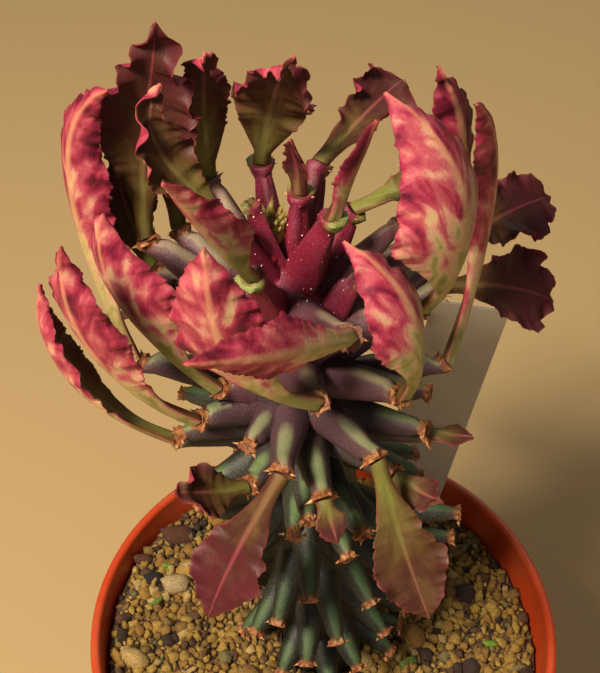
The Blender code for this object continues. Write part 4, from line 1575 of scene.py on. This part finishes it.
@dataclass
class Soil:
    """The potting mix that fills the pot, with the grit, pebbles and bark bits on its top.

    The chips have a name, a colour, their proportions, and the place and size of each.
    """
    pot: Pot
    stone: GritStone = GritStone()
    # Dry bark and leaf bits: as matt as the grit, red-brown to grey, and a few of them still green.
    bits: GritStone = GritStone("bark_and_leaf_bits", (
        (0.0, "#4a2f1e"), (0.3, "#6d472a"), (0.55, "#31241b"), (0.7, "#5f7a2c"), (0.85, "#8a7a4c")))
    sorts: tuple = (Grains("grit", 2, 0.33, 1.6, 1.5, 3.7, -0.5, 1.3),
                    Grains("fine_grit", 1, 0.25, 1.1, 1.1, 2.3, -0.1, 0.9, 10),
                    Grains("pebbles", 3, 0.06, 12.0, 4.0, 7.5, -0.4, 5.0, 20))
    litter: Grains = Grains("litter", 2, 0.2, 9.0, 2.4, 6.0, -0.9, 4.0, 40,
                            shapes=((1.3, 0.7, 0.16),) * 4)
    chips: tuple = (
        ("slate_chip", "#1c1917", (1.2, 0.85, 0.5), ((-38.2, 13.9, 4.0), (22.0, -36.0, 4.5))),
        ("quartz_chip", "#b09a70", (1.3, 0.9, 0.7), (
            (-29.4, 16.7, 3.8), (-33.0, 12.4, 5.4), (-20.0, -38.0, 5.0))),
        ("bark_chip", "#54301f", (1.4, 0.75, 0.3), (
            (-33.2, 25.8, 6.5), (-41.0, 19.0, 3.6), (34.0, -26.0, 6.0), (-12.0, -41.0, 5.0))),
        ("moss_sprig", "#6c8f24", (1.2, 0.45, 0.3), (
            (-35.2, 17.3, 2.6), (-34.6, 16.2, 2.0), (37.0, -1.0, 3.4))))
    chip_aim: Vector = Vector((0.3, -0.4, 1.0))
    chip_rough: float = 0.22
    chip_lift: float = 1.6
    mean_z: float = 80.0
    tilt: float = 2.0
    hole_r: float = 9.05
    hole_end_z: float = 49.7
    hole_margin: float = 0.6
    rings: int = 40
    sides: int = 144
    lump: float = 0.8
    lump_mm: float = 5.0

    def height(self, radius: float, azimuth: float) -> float:
        """Height of the soil, which lies a little higher on the left, with its lumps."""
        lumps = noise.noise(compass(azimuth) * radius / self.lump_mm) * self.lump
        return self.mean_z - self.tilt * math.cos(math.radians(azimuth)) * radius / self.pot.rim_r + lumps

    def top(self, first_r: float, last_r: float) -> list[Vector]:
        """Lay rings of points over the soil's top.

        Args:
            first_r: Radius of the innermost ring.
            last_r: Radius of the outermost ring.

        Returns:
            The points.
        """
        points = []
        for row in range(self.rings + 1):
            radius = lerp(first_r, last_r, row / self.rings)
            for k in range(self.sides):
                azimuth = 360.0 * k / self.sides
                points.append(compass(azimuth) * radius + UP * self.height(radius, azimuth))
        return points

    def edge_r(self, inset: float) -> float:
        """Radius of the top's edge, at a distance from the inside of the rim band."""
        return self.pot.inner_r(self.pot.band_z) + self.pot.band_step - inset

    def body(self) -> Piece:
        """Build the filling: a closed body with a plain hole that takes the stem.

        Returns:
            The filling's object.
        """
        pot, end, foot = self.pot, UP * self.hole_end_z, UP * (self.pot.floor + GAP)
        shoulder_z = pot.band_z - 2.0
        points = [end, *ring(end, self.hole_r, self.sides), *self.top(self.hole_r, self.edge_r(2 * GAP)),
                  *ring(UP * shoulder_z, pot.inner_r(shoulder_z) - GAP, self.sides),
                  *ring(foot, pot.inner_r(pot.floor) - GAP - 1.0, self.sides), foot]
        faces = column_faces(len(points), self.sides)
        return build_mesh("potting_mix", points, faces, POTTING_MIX.material(), crease=50.0)

    def strewn(self, sort: Grains, finish: Finish) -> Piece:
        """Strew one sort of grain over the top.

        Args:
            sort: The grains.
            finish: Their material.

        Returns:
            All the grains as one piece.
        """
        points = self.top(self.hole_r + self.hole_margin, self.edge_r(sort.inset))
        sheet = build_mesh(sort.name, points, bands(self.sides, self.rings), finish)
        return scatter_over(sheet, sort, finish)

    def build(self) -> None:
        """Build the filling in place of its plain one, then strew its top."""
        hand_over(self.body(), "soil", "soil")
        stone = self.stone.material()
        for sort in self.sorts:
            hand_over(self.strewn(sort, stone), "soil")
        hand_over(self.strewn(self.litter, self.bits.material()), "soil")
        for name, tone, shape, places in self.chips:
            pins = []
            for x, y, size in places:
                z = self.height(math.hypot(x, y), math.degrees(math.atan2(y, x))) + self.chip_lift
                pins.append((Vector((x, y, z)), self.chip_aim.normalized(), size))
            hand_over(scatter_at(f"{name}s", pins, round_grain(name, 2, self.chip_rough, shape, SEED),
                                 GritStone(name, ((0.0, tone),)).material()), "soil")


@dataclass
class Label:
    """The blank label: a thin strip with round corners and a pointed foot, leaning behind."""
    # Polystyrene: stiff and satin. Its white is painted a darker off-white as painted shade of the plant,
    # and a brownish film of dust dulls it further in clouds.
    plastic: MouldedPlastic = MouldedPlastic("white_polystyrene", "#bcb29c", "#93866c", 0.4, 0.4)
    width: float = 16.0
    thickness: float = 0.8
    foot: Vector = Vector((19.4, 27.8, 46.0))
    top: Vector = Vector((38.0, 38.0, 144.0))
    point: float = 14.0
    tip_half_w: float = 1.0
    corner_r: float = 2.5
    edge_r: float = 0.15

    def outline(self) -> list[tuple[float, float]]:
        """Draw the strip's outline, from its foot round to the top with round corners.

        Returns:
            Place across and along of each of its points.
        """
        half = self.width / 2
        high = (self.top - self.foot).length
        right = [(self.tip_half_w, 0.0), (half, self.point)]
        right += [(half - self.corner_r * (1.0 - cosine), high - self.corner_r * (1.0 - sine))
                  for cosine, sine in arc(6)]
        return right + [(-x, z) for x, z in reversed(right)]

    def build(self) -> None:
        """Build the strip in place of its plain one."""
        rim = self.outline()
        count = len(rim)
        points = [Vector((x, side * self.thickness / 2, z)) for side in (-1, 1) for x, z in rim]
        faces = [tuple(range(count)), tuple(range(2 * count - 1, count - 1, -1))] + bands(count, 1)
        up = (self.top - self.foot).normalized()
        across = Vector((1.0, 0.0, 0.0))
        across = (across - up * across.dot(up)).normalized()
        turn = Matrix((across, up.cross(across), up)).transposed()
        place = self.foot - across * self.width / 2
        strip = build_mesh("plant_label", [turn @ p + place for p in points], faces,
                           self.plastic.material(), crease=30.0)
        modify(strip, "BEVEL", {"width": self.edge_r * MM, "segments": 2, "limit_method": "ANGLE",
                                "angle_limit": math.radians(50.0)})
        hand_over(strip, "label", "label")


@dataclass
class Studio:
    """The plain floor, the soft lights and the camera at the photograph's viewing angle.

    The lamps have a name, a place and a size in metres, a power in watts and a colour.
    """
    floor_half: float = 3.0
    floor_colour: str = "#b39a6e"
    lamp_aim: Vector = Vector((0.0, 0.0, 0.15))
    lamps: tuple = (("key", (-0.34, -0.34, 0.76), 0.16, 12.0, "#ffecd2"),
                    ("fill", (0.3, -0.8, 0.5), 0.8, 1.1, "#fff6ec"),
                    ("back", (0.2, 0.8, 0.7), 0.8, 2.0, "#fff2e2"))
    sky_colour: str = "#f2ede6"
    sky_strength: float = 0.1
    camera_place: tuple = (-0.005, -0.139, 0.315)
    camera_tilt: float = 45.2
    focal_px: float = 1200.0
    image_height_px: float = 673.0
    sensor_mm: float = 36.0

    def floor(self) -> None:
        """Lay the floor: matt paper of a sandy tone, without a sheen."""
        made, _, shader = new_material("pale_paper_floor")
        feed(shader, {"Base Color": linear(self.floor_colour), "Roughness": 0.9})
        corners = [(x * self.floor_half, y * self.floor_half, 0.0)
                   for x, y in ((-1, -1), (1, -1), (1, 1), (-1, 1))]
        mesh = bpy.data.meshes.new("floor")
        mesh.from_pydata(corners, [], [(0, 1, 2, 3)])
        mesh.materials.append(made)
        linked("floor", mesh)

    def hang_lamps(self) -> None:
        """Hang the soft square lamps, which all face the middle of the plant."""
        for name, place, size, power, colour in self.lamps:
            light = bpy.data.lights.new(name, "AREA")
            light.size = size
            light.energy = power
            light.color = linear(colour)[:3]
            lamp = linked(name, light)
            lamp.location = place
            lamp.rotation_euler = (self.lamp_aim - Vector(place)).to_track_quat("-Z", "Y").to_euler()

    def set_camera(self) -> None:
        """Set the camera where the photograph's was."""
        lens = bpy.data.cameras.new("camera")
        lens.sensor_fit = "VERTICAL"
        lens.sensor_height = self.sensor_mm
        lens.lens = self.focal_px / self.image_height_px * self.sensor_mm
        lens.clip_start = 0.005
        camera = linked("camera", lens)
        camera.location = self.camera_place
        camera.rotation_euler = (math.radians(90.0 - self.camera_tilt), 0.0, 0.0)
        bpy.context.scene.camera = camera

    def build(self) -> None:
        """Set the floor, the lights, the soft sky and the camera."""
        self.floor()
        self.hang_lamps()
        world = bpy.data.worlds.new("soft_sky")
        world.use_nodes = True
        feed(world.node_tree.nodes["Background"], {
            "Color": linear(self.sky_colour), "Strength": self.sky_strength})
        bpy.context.scene.world = world
        bpy.context.scene.view_settings.view_transform = "Standard"
        self.set_camera()


def main() -> None:
    """Build each sub-assembly in order."""
    logging.basicConfig(level=logging.INFO, format="%(name)s: %(message)s")
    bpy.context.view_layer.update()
    pot = Pot()
    Studio().build()
    pot.build()
    Soil(pot).build()
    Label().build()
    Stem().build()
    Foliage().build()


if __name__ == "__main__":
    main()
